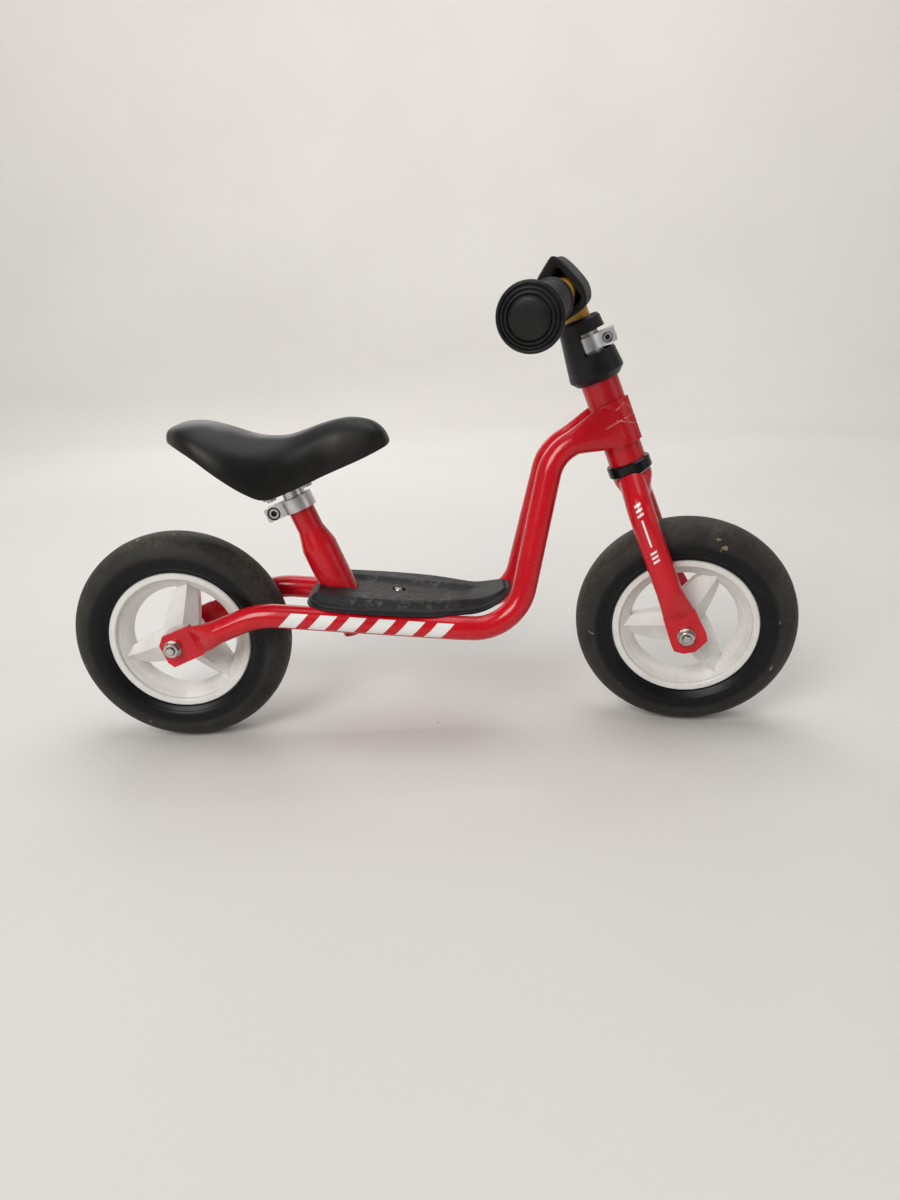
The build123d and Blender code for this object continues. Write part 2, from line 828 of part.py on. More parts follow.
with BuildPart() as handlebar_bar:
    with BuildLine(fork_frame) as bar_route:
        FilletPolyline(
            (bar_end[0], -bar_end[1], bar_end[2]),
            bar_centre,
            bar_end,
            radius=220,
        )
    with BuildSketch(
        Plane(origin=bar_route.line @ 0, x_dir=fork_frame.z_dir, z_dir=bar_route.line % 0)
    ):
        Circle(bar_radius)
        Circle(bar_radius - tube_wall, mode=Mode.SUBTRACT)
    sweep(path=bar_route.line)
save(handlebar_bar, "handlebar_bar")

with BuildPart() as handlebar_stem:
    with BuildSketch(fork_frame.offset(190)):
        Circle(stem_radius)
        Circle(stem_radius - tube_wall, mode=Mode.SUBTRACT)
    extrude(amount=132)
    with BuildSketch(
        Plane(origin=bar_route.line @ 0, x_dir=fork_frame.z_dir, z_dir=bar_route.line % 0)
    ):
        Circle(bar_radius)
    sweep(path=bar_route.line, mode=Mode.SUBTRACT)
    with BuildSketch(fork_frame.offset(322)):
        Circle(30)
    extrude(amount=20, mode=Mode.SUBTRACT)
save(handlebar_stem, "handlebar_stem")


def grip_plane(side):
    """Plane at the grip's inner end, x outwards along the bar and y upwards."""
    slope = Vector(bar_end[0] - bar_centre[0], side * bar_end[1], bar_end[2] - bar_centre[2])
    share = grip_inner / bar_end[1]
    start = Vector(*bar_centre) + slope.normalized() * slope.length * share
    start = Vector(start.X, side * grip_inner, start.Z)
    outward = fork_frame.from_local_coords(slope.normalized()) - fork_frame.origin
    origin = fork_frame.from_local_coords(start)
    return Plane(origin=origin, x_dir=outward, z_dir=outward.cross(fork_frame.z_dir))


def make_grip(side):
    """Rubber grip with a wide safety flange and a domed end."""
    section = grip_plane(side)
    bar_stop = (bar_end[1] - grip_inner) / (section.x_dir.dot(fork_frame.y_dir) * side)
    with BuildPart() as grip:
        with BuildSketch(section):
            with BuildLine():
                Polyline(
                    (0, bar_radius),
                    (0, 15.6),
                    (1.5, 16.6),
                    (4, 16.6),
                    (6, 14.8),
                    (80, 15.2),
                    (85.5, 20),
                    (87, 22.4),
                    (88.5, 23),
                    (91.5, 23),
                    (92.6, 22.2),
                    (92.9, 17.6),
                    (94.4, 17.2),
                    (94.6, 13.8),
                    (96.0, 8),
                    (grip_length, 0),
                )
                Polyline((grip_length, 0), (bar_stop, 0), (bar_stop, bar_radius), (0, bar_radius))
            make_face()
        revolve(axis=Axis(section.origin, section.x_dir))
    return grip


for name, side in sides.items():
    save(make_grip(side), f"grip_{name}")

# Section of the padded wrap: ahead of the steering axis, height along it
pad_outline = [
    (1, 350), (5.5, 346), (13.6, 328.8), (16.6, 314.5), (11, 304), (-5, 300.1),
    (-16, 303.5), (-22, 322), (-16.5, 338.2), (-4, 347.4),
]
pad_cavity = [
    (1.5, 342.4), (8.6, 326), (12, 312.4), (7.1, 308.8), (-4.4, 306.7), (-12.5, 309),
    (-14.5, 320), (-8, 334.5),
]
with BuildPart() as handlebar_pad:
    with BuildSketch(side_plane(fork_frame)):
        with BuildLine():
            Spline(*pad_outline, pad_outline[0])
        make_face()
        with BuildLine():
            Spline(*pad_cavity, pad_cavity[0])
        make_face(mode=Mode.SUBTRACT)
    extrude(amount=pad_half_width, both=True)
    with BuildSketch(fork_frame.offset(290)):
        Circle(stem_radius + 0.4)
    extrude(amount=26, mode=Mode.SUBTRACT)
    with BuildSketch(
        Plane(origin=bar_route.line @ 0, x_dir=fork_frame.z_dir, z_dir=bar_route.line % 0)
    ):
        Circle(bar_radius + 0.3)
    sweep(path=bar_route.line, mode=Mode.SUBTRACT)
save(handlebar_pad, "handlebar_pad")

# ---- Saddle ----
save(sleeve(seat_frame, seatpost_radius - 1.6, seatpost_radius, -30, seat_plate_bottom), "seatpost")

screw_pitch_x, screw_pitch_y = 36.0, 24.0
plate_length, plate_width, plate_corner = 50.0, 38.0, 6.0
with BuildPart() as saddle_plate:
    with BuildSketch(seat_frame.offset(seat_plate_bottom)):
        RectangleRounded(plate_length, plate_width, plate_corner)
        with GridLocations(screw_pitch_x, screw_pitch_y, 2, 2):
            Circle(2.6, mode=Mode.SUBTRACT)
    extrude(amount=seat_plate_top - seat_plate_bottom)
save(saddle_plate, "saddle_plate")

# Sections from the rear to the nose: distance ahead of the rear axle, half width,
# height of the skirt's lower edge and height of the crown above the ground.
saddle_sections = [
    (12.5, 11.0, 289.5, 296.5),
    (20.0, 25.0, 288.0, 301.5),
    (30.0, 37.5, 285.0, 305.0),
    (45.0, 47.5, 277.0, 304.5),
    (65.0, 52.0, 262.0, 299.0),
    (85.0, 49.5, 247.5, 292.5),
    (101.0, 44.0, 240.4, 289.8),
    (121.0, 35.0, 245.5, 290.6),
    (150.0, 26.5, 257.0, 299.5),
    (180.0, 23.0, 268.5, 303.4),
    (192.0, 21.0, 273.5, 300.8),
    (200.0, 17.8, 277.0, 296.2),
    (205.0, 13.0, 279.0, 290.4),
    (207.5, 7.0, 280.2, 285.2),
]
base_thickness = 6.0
base_inset = 4.0


def saddle_plane(x):
    return Plane(origin=(x - wheelbase / 2, 0, 0), x_dir=(0, 1, 0), z_dir=(1, 0, 0))


with BuildPart() as saddle_base:
    for x, half_width, skirt, crown in saddle_sections[2:-3]:
        with BuildSketch(saddle_plane(x)):
            with Locations((0, skirt + base_thickness / 2)):
                Rectangle(2 * (half_width - base_inset), base_thickness)
    loft(ruled=True)
    with BuildSketch(seat_frame.offset(seat_plate_top)):
        RectangleRounded(plate_length, plate_width, plate_corner)
    extrude(amount=base_thickness + 5)
    with BuildSketch(seat_frame.offset(seat_plate_bottom - 3)):
        RectangleRounded(plate_length + 3, plate_width + 3, plate_corner)
    extrude(amount=seat_plate_top - seat_plate_bottom + 3, mode=Mode.SUBTRACT)
    with BuildSketch(seat_frame.offset(seat_plate_top)):
        with GridLocations(screw_pitch_x, screw_pitch_y, 2, 2):
            Circle(2.4)
    extrude(amount=5, mode=Mode.SUBTRACT)
save(saddle_base, "saddle_base")

with BuildPart() as saddle_cushion:
    for x, half_width, skirt, crown in saddle_sections:
        rise = crown - skirt
        with BuildSketch(saddle_plane(x)):
            with BuildLine():
                Spline(
                    (half_width, skirt),
                    (0.93 * half_width, skirt + 0.5 * rise),
                    (0.58 * half_width, skirt + 0.88 * rise),
                    (0, crown),
                    (-0.58 * half_width, skirt + 0.88 * rise),
                    (-0.93 * half_width, skirt + 0.5 * rise),
                    (-half_width, skirt),
                    tangents=[(0, 1), (0, -1)],
                )
                Line((-half_width, skirt), (half_width, skirt))
            make_face()
    loft()
    add(saddle_base.part, mode=Mode.SUBTRACT)
    with BuildSketch(seat_frame.offset(seat_plate_bottom - 20)):
        RectangleRounded(plate_length + 4, plate_width + 4, plate_corner)
    extrude(amount=seat_plate_top - seat_plate_bottom + 20, mode=Mode.SUBTRACT)
    with BuildSketch(seat_frame.offset(seat_plate_top)):
        with GridLocations(screw_pitch_x, screw_pitch_y, 2, 2):
            Circle(2.5)
    extrude(amount=5.1, mode=Mode.SUBTRACT)
save(saddle_cushion, "saddle_cushion")

with BuildPart() as saddle_screws:
    with BuildSketch(seat_frame.offset(seat_plate_bottom - 2.6)):
        with GridLocations(screw_pitch_x, screw_pitch_y, 2, 2):
            Circle(4.3)
    extrude(amount=2.6)
    with BuildSketch(seat_frame.offset(seat_plate_bottom)):
        with GridLocations(screw_pitch_x, screw_pitch_y, 2, 2):
            Circle(2.4)
    extrude(amount=seat_plate_top - seat_plate_bottom + 5)
save(saddle_screws, "saddle_screws")
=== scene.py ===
import json
from math import cos, pi, radians, sin

import bmesh
import bpy
import numpy as np
from mathutils import Matrix, Vector


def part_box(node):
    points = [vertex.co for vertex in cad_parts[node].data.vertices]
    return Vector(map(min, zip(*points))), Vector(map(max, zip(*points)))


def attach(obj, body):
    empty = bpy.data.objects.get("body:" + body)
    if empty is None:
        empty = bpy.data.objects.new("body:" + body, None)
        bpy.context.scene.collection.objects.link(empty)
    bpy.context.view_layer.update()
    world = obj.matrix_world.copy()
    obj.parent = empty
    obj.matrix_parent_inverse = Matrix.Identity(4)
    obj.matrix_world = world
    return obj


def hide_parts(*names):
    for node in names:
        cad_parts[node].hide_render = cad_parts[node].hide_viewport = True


# Looks of a child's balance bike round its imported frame. Local sizes and places are in
# millimetres; noise scales are in waves to the metre, and relief heights in metres.
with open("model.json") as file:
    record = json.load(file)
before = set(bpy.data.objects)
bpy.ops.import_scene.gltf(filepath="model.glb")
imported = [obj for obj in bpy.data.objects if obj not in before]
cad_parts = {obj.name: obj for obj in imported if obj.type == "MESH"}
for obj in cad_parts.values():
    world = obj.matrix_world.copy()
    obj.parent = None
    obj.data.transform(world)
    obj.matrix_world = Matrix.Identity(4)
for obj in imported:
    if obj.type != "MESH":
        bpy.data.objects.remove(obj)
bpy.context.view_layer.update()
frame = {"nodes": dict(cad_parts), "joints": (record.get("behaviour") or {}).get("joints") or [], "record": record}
nodes = frame["nodes"]
joints = {joint["name"]: joint for joint in frame["joints"]}
MM = 0.001


# ---- Places, each a matrix from local millimetres to the shared frame ----
def place(origin, x_dir, z_dir):
    """Local frame with its x and z along the given directions."""
    x, z = Vector(x_dir).normalized(), Vector(z_dir).normalized()
    y = z.cross(x)
    rows = [[x[i] * MM, y[i] * MM, z[i] * MM, origin[i]] for i in range(3)]
    return Matrix(rows + [[0, 0, 0, 1]])


def box_middle(node):
    """Middle of a CAD node's box, in metres."""
    low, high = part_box(node)
    return (low + high) / 2


steer_axis = Vector(joints["steering"]["axis"])
front_axle_dir = Vector(joints["front_wheel_spin"]["axis"])
front_centre = Vector(joints["steering"]["pos_m"])
rear_centre = Vector(joints["rear_wheel_spin"]["pos_m"])
seat_axis = Vector(joints["saddle_height"]["axis"])
rear_place = place(rear_centre, (1, 0, 0), (0, 0, 1))
fork_place = place(front_centre, front_axle_dir.cross(steer_axis), steer_axis)
head_place = place(front_centre, Vector((0, 1, 0)).cross(steer_axis), steer_axis)
# the board's local origin is a little under the middle of its screw
screw_middle_height = 0.4
board_pitch = radians(5.57)
board_up = Vector((sin(board_pitch), 0, cos(board_pitch)))
board_origin = box_middle("footboard_screw") - board_up * screw_middle_height * MM
board_place = place(board_origin, (cos(board_pitch), 0, -sin(board_pitch)), board_up)
saddle_place = place((rear_centre.x, 0, 0), (1, 0, 0), (0, 0, 1))


# ---- Mesh helpers ----
def new_mesh(name, points, faces, where=None, smooth=True):
    """Mesh object from local points; where turns them into the shared frame."""
    mesh = bpy.data.meshes.new(name)
    if where is not None:
        points = [where @ Vector(p) for p in points]
    mesh.from_pydata([tuple(p) for p in points], [], faces)
    mesh.validate()
    if smooth:
        mesh.polygons.foreach_set("use_smooth", [True] * len(mesh.polygons))
    obj = bpy.data.objects.new(name, mesh)
    bpy.context.scene.collection.objects.link(obj)
    return obj


def outward(obj):
    """Turns every face of a closed mesh outwards."""
    bm = bmesh.new()
    bm.from_mesh(obj.data)
    bmesh.ops.recalc_face_normals(bm, faces=bm.faces)
    bm.to_mesh(obj.data)
    bm.free()
    return obj


def grid_faces(rows, columns, closed_rows=False, closed_columns=False):
    """Quads of a grid of points stored row by row; a closed direction joins its end to its start."""
    faces = []
    for i in range(rows if closed_rows else rows - 1):
        for j in range(columns if closed_columns else columns - 1):
            a, b = i * columns + j, i * columns + (j + 1) % columns
            c, d = ((i + 1) % rows) * columns + (j + 1) % columns, ((i + 1) % rows) * columns + j
            faces.append((a, b, c, d))
    return faces


def smooth_path(points, steps):
    """Catmull-Rom line through the points, with a number of steps to each stretch."""
    pts = [np.array(p, float) for p in points]
    pts = [2 * pts[0] - pts[1]] + pts + [2 * pts[-1] - pts[-2]]
    line = []
    for a, b, c, d in zip(pts, pts[1:], pts[2:], pts[3:]):
        for k in range(steps):
            t = k / steps
            line.append(
                0.5 * (2 * b + (c - a) * t + (2 * a - 5 * b + 4 * c - d) * t * t
                       + (3 * b - a - 3 * c + d) * t ** 3)
            )
    return line + [pts[-2]]


def lathe(name, profile, where, steps=160):
    """Closed ring or solid turned about the place's y axis; profile is (distance out, radius)."""
    points = []
    for k in range(steps):
        angle = 2 * pi * k / steps
        points += [(r * cos(angle), out, r * sin(angle)) for out, r in profile]
    made = outward(new_mesh(name, points, grid_faces(steps, len(profile), True, True), where))
    made.data.set_sharp_from_angle(angle=radians(48))
    return made


def modifier(obj, kind, **settings):
    """Adds a modifier with its settings."""
    made = obj.modifiers.new(kind.lower(), kind)
    for key, value in settings.items():
        setattr(made, key, value)
    return made


def apply_modifiers(obj):
    """Replaces the mesh by what its modifiers make of it."""
    bpy.context.view_layer.update()
    evaluated = obj.evaluated_get(bpy.context.evaluated_depsgraph_get())
    mesh = bpy.data.meshes.new_from_object(evaluated)
    obj.modifiers.clear()
    obj.data = mesh
    return obj


# ---- Material helpers ----
class Look:
    """A Principled material that is put together from a few nodes."""

    def __init__(self, name, roughness=0.5, **sockets):
        self.material = bpy.data.materials.new(name)
        self.material.use_nodes = True
        self.tree = self.material.node_tree
        self.shader = self.tree.nodes["Principled BSDF"]
        self.shader.inputs["Roughness"].default_value = roughness
        for key, value in sockets.items():
            self.shader.inputs[key.replace("_", " ")].default_value = value
        self.coordinates = self.node("ShaderNodeTexCoord").outputs["Object"]

    def node(self, kind, **settings):
        made = self.tree.nodes.new(kind)
        for key, value in settings.items():
            setattr(made, key, value)
        return made

    def link(self, out, socket):
        self.tree.links.new(out, socket)

    def feed(self, socket, value):
        if isinstance(value, bpy.types.NodeSocket):
            self.link(value, socket)
        else:
            socket.default_value = value

    def math(self, operation, a, b=0.0, c=0.0):
        made = self.node("ShaderNodeMath", operation=operation)
        for socket, value in zip(made.inputs, (a, b, c)):
            self.feed(socket, value)
        return made.outputs[0]

    def distance(self, a, b):
        """Length of the flat vector (a, b)."""
        squares = self.math("ADD", self.math("MULTIPLY", a, a), self.math("MULTIPLY", b, b))
        return self.math("SQRT", squares)

    def vector(self, operation, a, b):
        made = self.node("ShaderNodeVectorMath", operation=operation)
        self.feed(made.inputs[0], a)
        self.feed(made.inputs[1], b)
        return made.outputs["Value" if operation == "DOT_PRODUCT" else 0]

    def local(self, where):
        """Local x, y and z in millimetres at a place."""
        offset = self.vector("SUBTRACT", self.coordinates, tuple(where.to_translation()))
        axes = where.to_3x3().transposed()
        return [self.vector("DOT_PRODUCT", offset, tuple(axes[i] / MM / MM)) for i in range(3)]

    def from_axis(self, where):
        """Distance in millimetres from the y axis of a place."""
        x, y, z = self.local(where)
        return self.distance(x, z)

    def band(self, value, low, high, soft):
        """1 between low and high, falling to 0 over the soft width outside."""
        rise = self.ramp(value, low - soft, low)
        fall = self.ramp(value, high + soft, high)
        return self.math("MULTIPLY", rise, fall)

    def ramp(self, value, start, end):
        """0 at start rising to 1 at end, and flat beyond; start may be the larger."""
        made = self.node("ShaderNodeMapRange", clamp=True)
        made.inputs["From Min"].default_value = start
        made.inputs["From Max"].default_value = end
        self.feed(made.inputs["Value"], value)
        return made.outputs[0]

    def between(self, value, low, high):
        """From low to high as the value goes from 0 to 1."""
        made = self.node("ShaderNodeMapRange", clamp=True)
        made.inputs["To Min"].default_value = low
        made.inputs["To Max"].default_value = high
        self.feed(made.inputs["Value"], value)
        return made.outputs[0]

    def noise(self, scale, detail=4.0, roughness=0.55, distortion=0.0, stretch=None):
        """Fractal noise; scale is in waves to the metre."""
        made = self.node("ShaderNodeTexNoise")
        made.inputs["Scale"].default_value = scale
        made.inputs["Detail"].default_value = detail
        made.inputs["Roughness"].default_value = roughness
        made.inputs["Distortion"].default_value = distortion
        source = self.coordinates
        if stretch:
            source = self.vector("MULTIPLY", source, stretch)
        self.link(source, made.inputs["Vector"])
        return made.outputs["Fac"]

    def cells(self, scale, feature):
        """Voronoi distance, for a leather-like grain."""
        made = self.node("ShaderNodeTexVoronoi", feature=feature)
        made.inputs["Scale"].default_value = scale
        self.link(self.coordinates, made.inputs["Vector"])
        return made.outputs["Distance"]

    def mix(self, share, a, b):
        """Colour a turning to colour b as share goes from 0 to 1."""
        made = self.node("ShaderNodeMix", data_type="RGBA")
        self.feed(made.inputs["Factor"], share)
        for index, value in ((6, a), (7, b)):
            self.feed(made.inputs[index], (*value, 1) if isinstance(value, tuple) else value)
        return made.outputs[2]

    def colour(self, value):
        self.feed(self.shader.inputs["Base Color"], value)

    def painted(self):
        """The colour that the shader has been given so far."""
        return self.shader.inputs["Base Color"].links[0].from_socket

    def roughness(self, share, low, high):
        """Roughness from low to high as share goes from 0 to 1."""
        self.feed(self.shader.inputs["Roughness"], self.between(share, low, high))

    def bump(self, height, distance, strength=1.0, base=None):
        """Relief of a height in metres, on top of an earlier one."""
        made = self.node("ShaderNodeBump")
        made.inputs["Strength"].default_value = strength
        made.inputs["Distance"].default_value = distance
        self.feed(made.inputs["Height"], height)
        if base is not None:
            self.link(base, made.inputs["Normal"])
        self.link(made.outputs[0], self.shader.inputs["Normal"])
        return made.outputs[0]


def paint(name, base, dark, roughness=0.2):
    """Gloss powder coat with orange peel, slight tone changes and fine wear."""
    look = Look(name, roughness, Coat_Weight=0.3, Coat_Roughness=0.06, Specular_IOR_Level=0.3)
    tone = look.ramp(look.noise(14, 3), 0.35, 0.7)
    colour = look.mix(tone, base, dark)
    haze = look.ramp(look.noise(60, 5), 0.4, 0.75)
    look.roughness(haze, roughness, roughness + 0.16)
    look.bump(look.noise(420, 2), 0.00012, 0.35)
    return look, colour


def metal(name, base, roughness, brushed=0.0, grain=900):
    """Metal with a slight haze; brushed adds to its relief and draws the grain out in one direction."""
    look = Look(name, roughness, Metallic=1.0)
    haze = look.noise(90, 4)
    look.colour(look.mix(look.ramp(haze, 0.35, 0.75), base, tuple(c * 0.72 for c in base)))
    look.roughness(haze, roughness, roughness + 0.22)
    stretch = (1, 1, 12) if brushed else None
    look.bump(look.noise(grain, 2, stretch=stretch), 0.0001, 0.25 + brushed)
    return look


def plastic(name, base, roughness, grain, relief, dust=0.25):
    """Moulded plastic with a fine spark-eroded grain and pale dust."""
    look = Look(name, roughness, Specular_IOR_Level=0.28)
    cloud = look.ramp(look.noise(32, 6, 0.65), 0.45, 0.8)
    pale = tuple(c + dust * (0.16 - c) if c < 0.16 else c * 0.94 for c in base)
    look.colour(look.mix(cloud, base, pale))
    look.roughness(cloud, roughness, roughness + 0.2)
    look.bump(look.noise(grain, 3), relief, 0.5)
    return look


# ---- Paint ----
RED, DARK_RED, WHITE = (0.62, 0.004, 0.014), (0.50, 0.003, 0.010), (0.86, 0.85, 0.83)


def red_paint(name, extra=None):
    """Red gloss paint with small chips, and with extra(look, colour) drawn over it where given."""
    look, colour = paint(name, RED, DARK_RED)
    chips = look.ramp(look.noise(340, 2, 0.5), 0.735, 0.76)
    colour = look.mix(chips, colour, (0.30, 0.05, 0.05))
    if extra:
        colour = extra(look, colour)
    look.colour(colour)
    return look.material


def stripes(look, along, across, first, pitch, width, count, slant, low, high):
    """Slanted bars of one width at one pitch, the first one's middle at first.

    They run along one distance and are cut to the band from low to high of the other.
    """
    shifted = look.math("MULTIPLY_ADD", across, -slant, along)
    phase = look.math("PINGPONG", look.math("SUBTRACT", shifted, first - pitch / 2), pitch / 2)
    bars = look.ramp(phase, (pitch - width) / 2 - 0.2, (pitch - width) / 2 + 0.2)
    run = look.band(shifted, first - width, first + pitch * (count - 1) + width, 0.3)
    return look.math("MULTIPLY", look.math("MULTIPLY", bars, run), look.band(across, low, high, 0.3))


def tube_marks(look, colour):
    """Plain white slanted bars on the near side tube."""
    x, y, z = look.local(rear_place)
    # height of the tube's lower run above the rear axle, as a straight line along the bike
    run_slope, run_height = -0.1011, 42.1
    up = look.math("SUBTRACT", z, look.math("MULTIPLY_ADD", x, run_slope, run_height))
    marks = stripes(look, x, up, first=118, pitch=26, width=15, count=6, slant=0.9, low=-7.5, high=6.5)
    # only on the outer face of the near tube, and a little worn away
    marks = look.math("MULTIPLY", marks, look.ramp(y, -44, -46))
    marks = look.math("MULTIPLY", marks, look.ramp(look.noise(230, 3), 0.27, 0.31))
    return look.mix(marks, colour, WHITE)


def leg_marks(look, colour):
    """Two short groups of slanted bars with a plain strip between them, down the near fork leg."""
    x, y, z = look.local(fork_place)
    groups = [
        stripes(look, z, x, first, pitch=4.2, width=2.1, count=3, slant=0.3, low=-4.4, high=1.2)
        for first in (127, 83)
    ]
    strip = look.math("MULTIPLY", look.band(z, 97, 122, 0.3), look.band(x, -2.4, -1.0, 0.3))
    marks = look.math("MAXIMUM", look.math("MAXIMUM", *groups), strip)
    marks = look.math("MULTIPLY", marks, look.ramp(y, -38, -40))
    return look.mix(marks, colour, WHITE)


def scratch(look, x, z, start, end, height, slope, width=0.28):
    """One thin wavering line from x = start to x = end, through z = height at x = 0."""
    waver = 3.2
    middle = look.math("MULTIPLY_ADD", look.noise(110, 4), waver, height - waver / 2)
    middle = look.math("MULTIPLY_ADD", x, slope, middle)
    away = look.math("ABSOLUTE", look.math("SUBTRACT", z, middle))
    line = look.math("MULTIPLY", look.ramp(away, width, width * 0.4), look.band(x, start, end, 1.0))
    # broken here and there along its run
    return look.math("MULTIPLY", line, look.ramp(look.noise(260, 3), 0.38, 0.5))


def lug_scratches(look, colour):
    """Bare scratches across the flattened tube end and the head tube."""
    x, y, z = look.local(head_place)
    share = scratch(look, x, z, -11, 17, 204.5, 0.1)
    for line in ((0, 19, 206, -0.55), (2, 11, 214, 0.35), (13, 20, 236, -1.6)):
        share = look.math("MAXIMUM", share, scratch(look, x, z, *line))
    return look.mix(share, colour, (0.78, 0.64, 0.55))


def near_tube(look, colour):
    """Both the white bars and the scratches, for the tube on the near side."""
    return lug_scratches(look, tube_marks(look, colour))


materials = {
    "red_paint": red_paint("red_powder_coat"),
    "frame_tube_right": red_paint("red_powder_coat_marked", near_tube),
    "frame_tube_left": red_paint("red_powder_coat_left", lug_scratches),
    "head_tube": red_paint("red_powder_coat_head", lug_scratches),
    "fork_leg_right": red_paint("red_powder_coat_leg", leg_marks),
}
yellow, yellow_colour = paint("yellow_powder_coat", (0.80, 0.40, 0.02), (0.70, 0.33, 0.015), 0.24)
yellow.colour(yellow_colour)
materials["yellow_paint"] = yellow.material


def rim_look(name, where):
    """Off-white moulded rim with patchy road dust, and painted shade low in the channel and round the hub."""
    look = Look(name, 0.3, Specular_IOR_Level=0.4, Subsurface_Weight=0.03)
    look.shader.inputs["Subsurface Radius"].default_value = (0.002, 0.002, 0.002)
    radius = look.from_axis(where)
    grime = look.math("MULTIPLY", look.ramp(look.noise(40, 6, 0.7), 0.46, 0.78), 0.4)
    # painted shade: the rim's channel and the middle round the hub are darkened by radius, on top of the patchy
    # dust
    low = look.math("ADD", look.band(radius, 56, 60.3, 1.5), look.ramp(radius, 26, 14))
    share = look.math("MULTIPLY_ADD", low, 0.25, grime)
    look.colour(look.mix(share, (0.80, 0.79, 0.765), (0.50, 0.465, 0.41)))
    look.roughness(share, 0.28, 0.6)
    look.bump(look.noise(700, 2), 0.00008, 0.3)
    return look.material


materials["rear_rim"] = rim_look("white_plastic_rear", rear_place)
materials["front_rim"] = rim_look("white_plastic_front", fork_place)

# the small plain finishes
SATIN_ALUMINIUM = {"base": (0.72, 0.725, 0.74), "roughness": 0.2, "brushed": 0.2, "grain": 500}
plain_looks = {
    "black_plastic": plastic(
        "black_moulded_plastic", (0.0085, 0.0088, 0.0098), 0.36, grain=1500, relief=0.00012, dust=0.12
    ),
    "head_lower_bush": plastic(
        "gloss_black_ring", (0.004, 0.004, 0.0045), 0.1, grain=300, relief=0.00003, dust=0.04
    ),
    "grey_plastic": plastic(
        "grey_moulded_plastic", (0.018, 0.0185, 0.020), 0.5, grain=1500, relief=0.00015
    ),
    "zinc_steel": metal("zinc_plated_steel", (0.52, 0.50, 0.47), 0.22),
    "chrome_steel": metal("chrome_plated_steel", (0.60, 0.60, 0.61), 0.09),
    "aluminium": metal("satin_aluminium", **SATIN_ALUMINIUM),
    "bearing_steel": metal("bearing_steel", (0.55, 0.55, 0.56), 0.16),
}
materials.update({name: look.material for name, look in plain_looks.items()})


def tyre_look(name, where):
    """Black foam rubber: smooth inner wall left dark as painted shade, shoulder painted lighter with dust and a
    painted sky reflection, scuffed tread with nicks.
    """
    look = Look(name, 0.6, Specular_IOR_Level=0.22)
    x, y, z = look.local(where)
    radius = look.distance(x, z)
    # beyond this radius the wall is painted lighter: part dust, part painted reflection of the sky on the shoulder
    outer = look.ramp(radius, 81.0, 85.5)
    tread = look.ramp(radius, 90, 101)
    cloud = look.ramp(look.noise(26, 9, 0.72), 0.36, 0.66)
    fine = look.ramp(look.noise(240, 6, 0.75), 0.38, 0.68)
    # dust and painted reflection in one mask: the shoulder turns pale while the inner wall stays dark as painted
    # shade
    dust = look.math("MULTIPLY", outer, look.math("MULTIPLY_ADD", cloud, 0.65, 0.3))
    colour = look.mix(dust, (0.0042, 0.0046, 0.0056), (0.040, 0.038, 0.034))
    worn = look.math("MULTIPLY", tread, look.math("MULTIPLY", cloud, fine))
    colour = look.mix(worn, colour, (0.115, 0.098, 0.072))
    smear = look.ramp(look.noise(55, 7, 0.8, 0.4), 0.60, 0.72)
    colour = look.mix(look.math("MULTIPLY", smear, 0.35), colour, (0.12, 0.115, 0.10))
    nicks = look.math("MULTIPLY", look.ramp(look.noise(75, 3, 0.4, 0.6), 0.72, 0.75), outer)
    colour = look.mix(nicks, colour, (0.24, 0.18, 0.11))
    look.colour(colour)
    look.roughness(dust, 0.34, 0.75)
    pores = look.bump(look.noise(900, 3, 0.6), 0.00025, 0.35)
    worn_relief = look.bump(look.math("SUBTRACT", look.noise(120, 4), nicks), 0.0005, 0.4, pores)
    # a run of plain slanted bars moulded in the wall, spaced along a circle of this radius
    bar_circle = 76.0
    turn = look.math("MULTIPLY", look.math("ARCTAN2", z, x), bar_circle)
    bars = stripes(
        look, turn, radius, first=-92, pitch=6.0, width=2.6, count=11, slant=0.5, low=74.2, high=78.6
    )
    look.bump(bars, 0.0005, 0.8, worn_relief)
    return look.material


# ---- Tyres ----
def make_tyre(name, where, body, node):
    """Foam tyre: bead ring, dished wall with two moulded rings, round shoulder and tread."""
    # each point is (distance from the wheel's middle plane, radius), from the tread inwards
    half = [
        (0, 102.5), (6.5, 101.9), (12.5, 100.3), (17.2, 97.5), (20.9, 93.9), (23.2, 89.8),
        (24.2, 86.6), (24.3, 84.0), (24.15, 80.0), (23.4, 76.2), (22.5, 73.6), (21.7, 72.3),
        (21.1, 71.9), (20.4, 70.8), (19.3, 69.0), (18.5, 67.9), (17.6, 67.5), (14.8, 67.45),
    ]
    inner = [(14.6, 63.2), (9.9, 58.7), (0, 53.6)]
    wall = [tuple(p) for p in smooth_path(half, 4)] + inner
    profile = wall + [(-out, r) for out, r in reversed(wall[1:-1])]
    tyre = lathe(name, profile, where, 220)
    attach(tyre, body)
    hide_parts(node)
    tyre.data.materials.append(tyre_look(name + "_foam", where))


make_tyre("rear_tyre_detail", rear_place, "rear_wheel", "rear_tyre")
make_tyre("front_tyre_detail", fork_place, "front_wheel", "front_tyre")

# ---- Handlebar centre line, in the fork's frame ----
# each half runs straight from the middle to its end, swept back and falling a little
BAR_MIDDLE, BAR_HALF = (2.0, 323.0), 177.0
BAR_SWEEP, BAR_FALL = 16.4, 6.7

# ---- Grips ----
grip_look = Look("grip_rubber", 0.5, Specular_IOR_Level=0.3)
smudge = grip_look.ramp(grip_look.noise(70, 5, 0.65), 0.45, 0.78)
grip_look.colour(grip_look.mix(smudge, (0.0055, 0.0057, 0.0062), (0.015, 0.015, 0.015)))
grip_look.roughness(smudge, 0.42, 0.7)
grip_look.bump(grip_look.noise(1300, 3), 0.0001, 0.4)


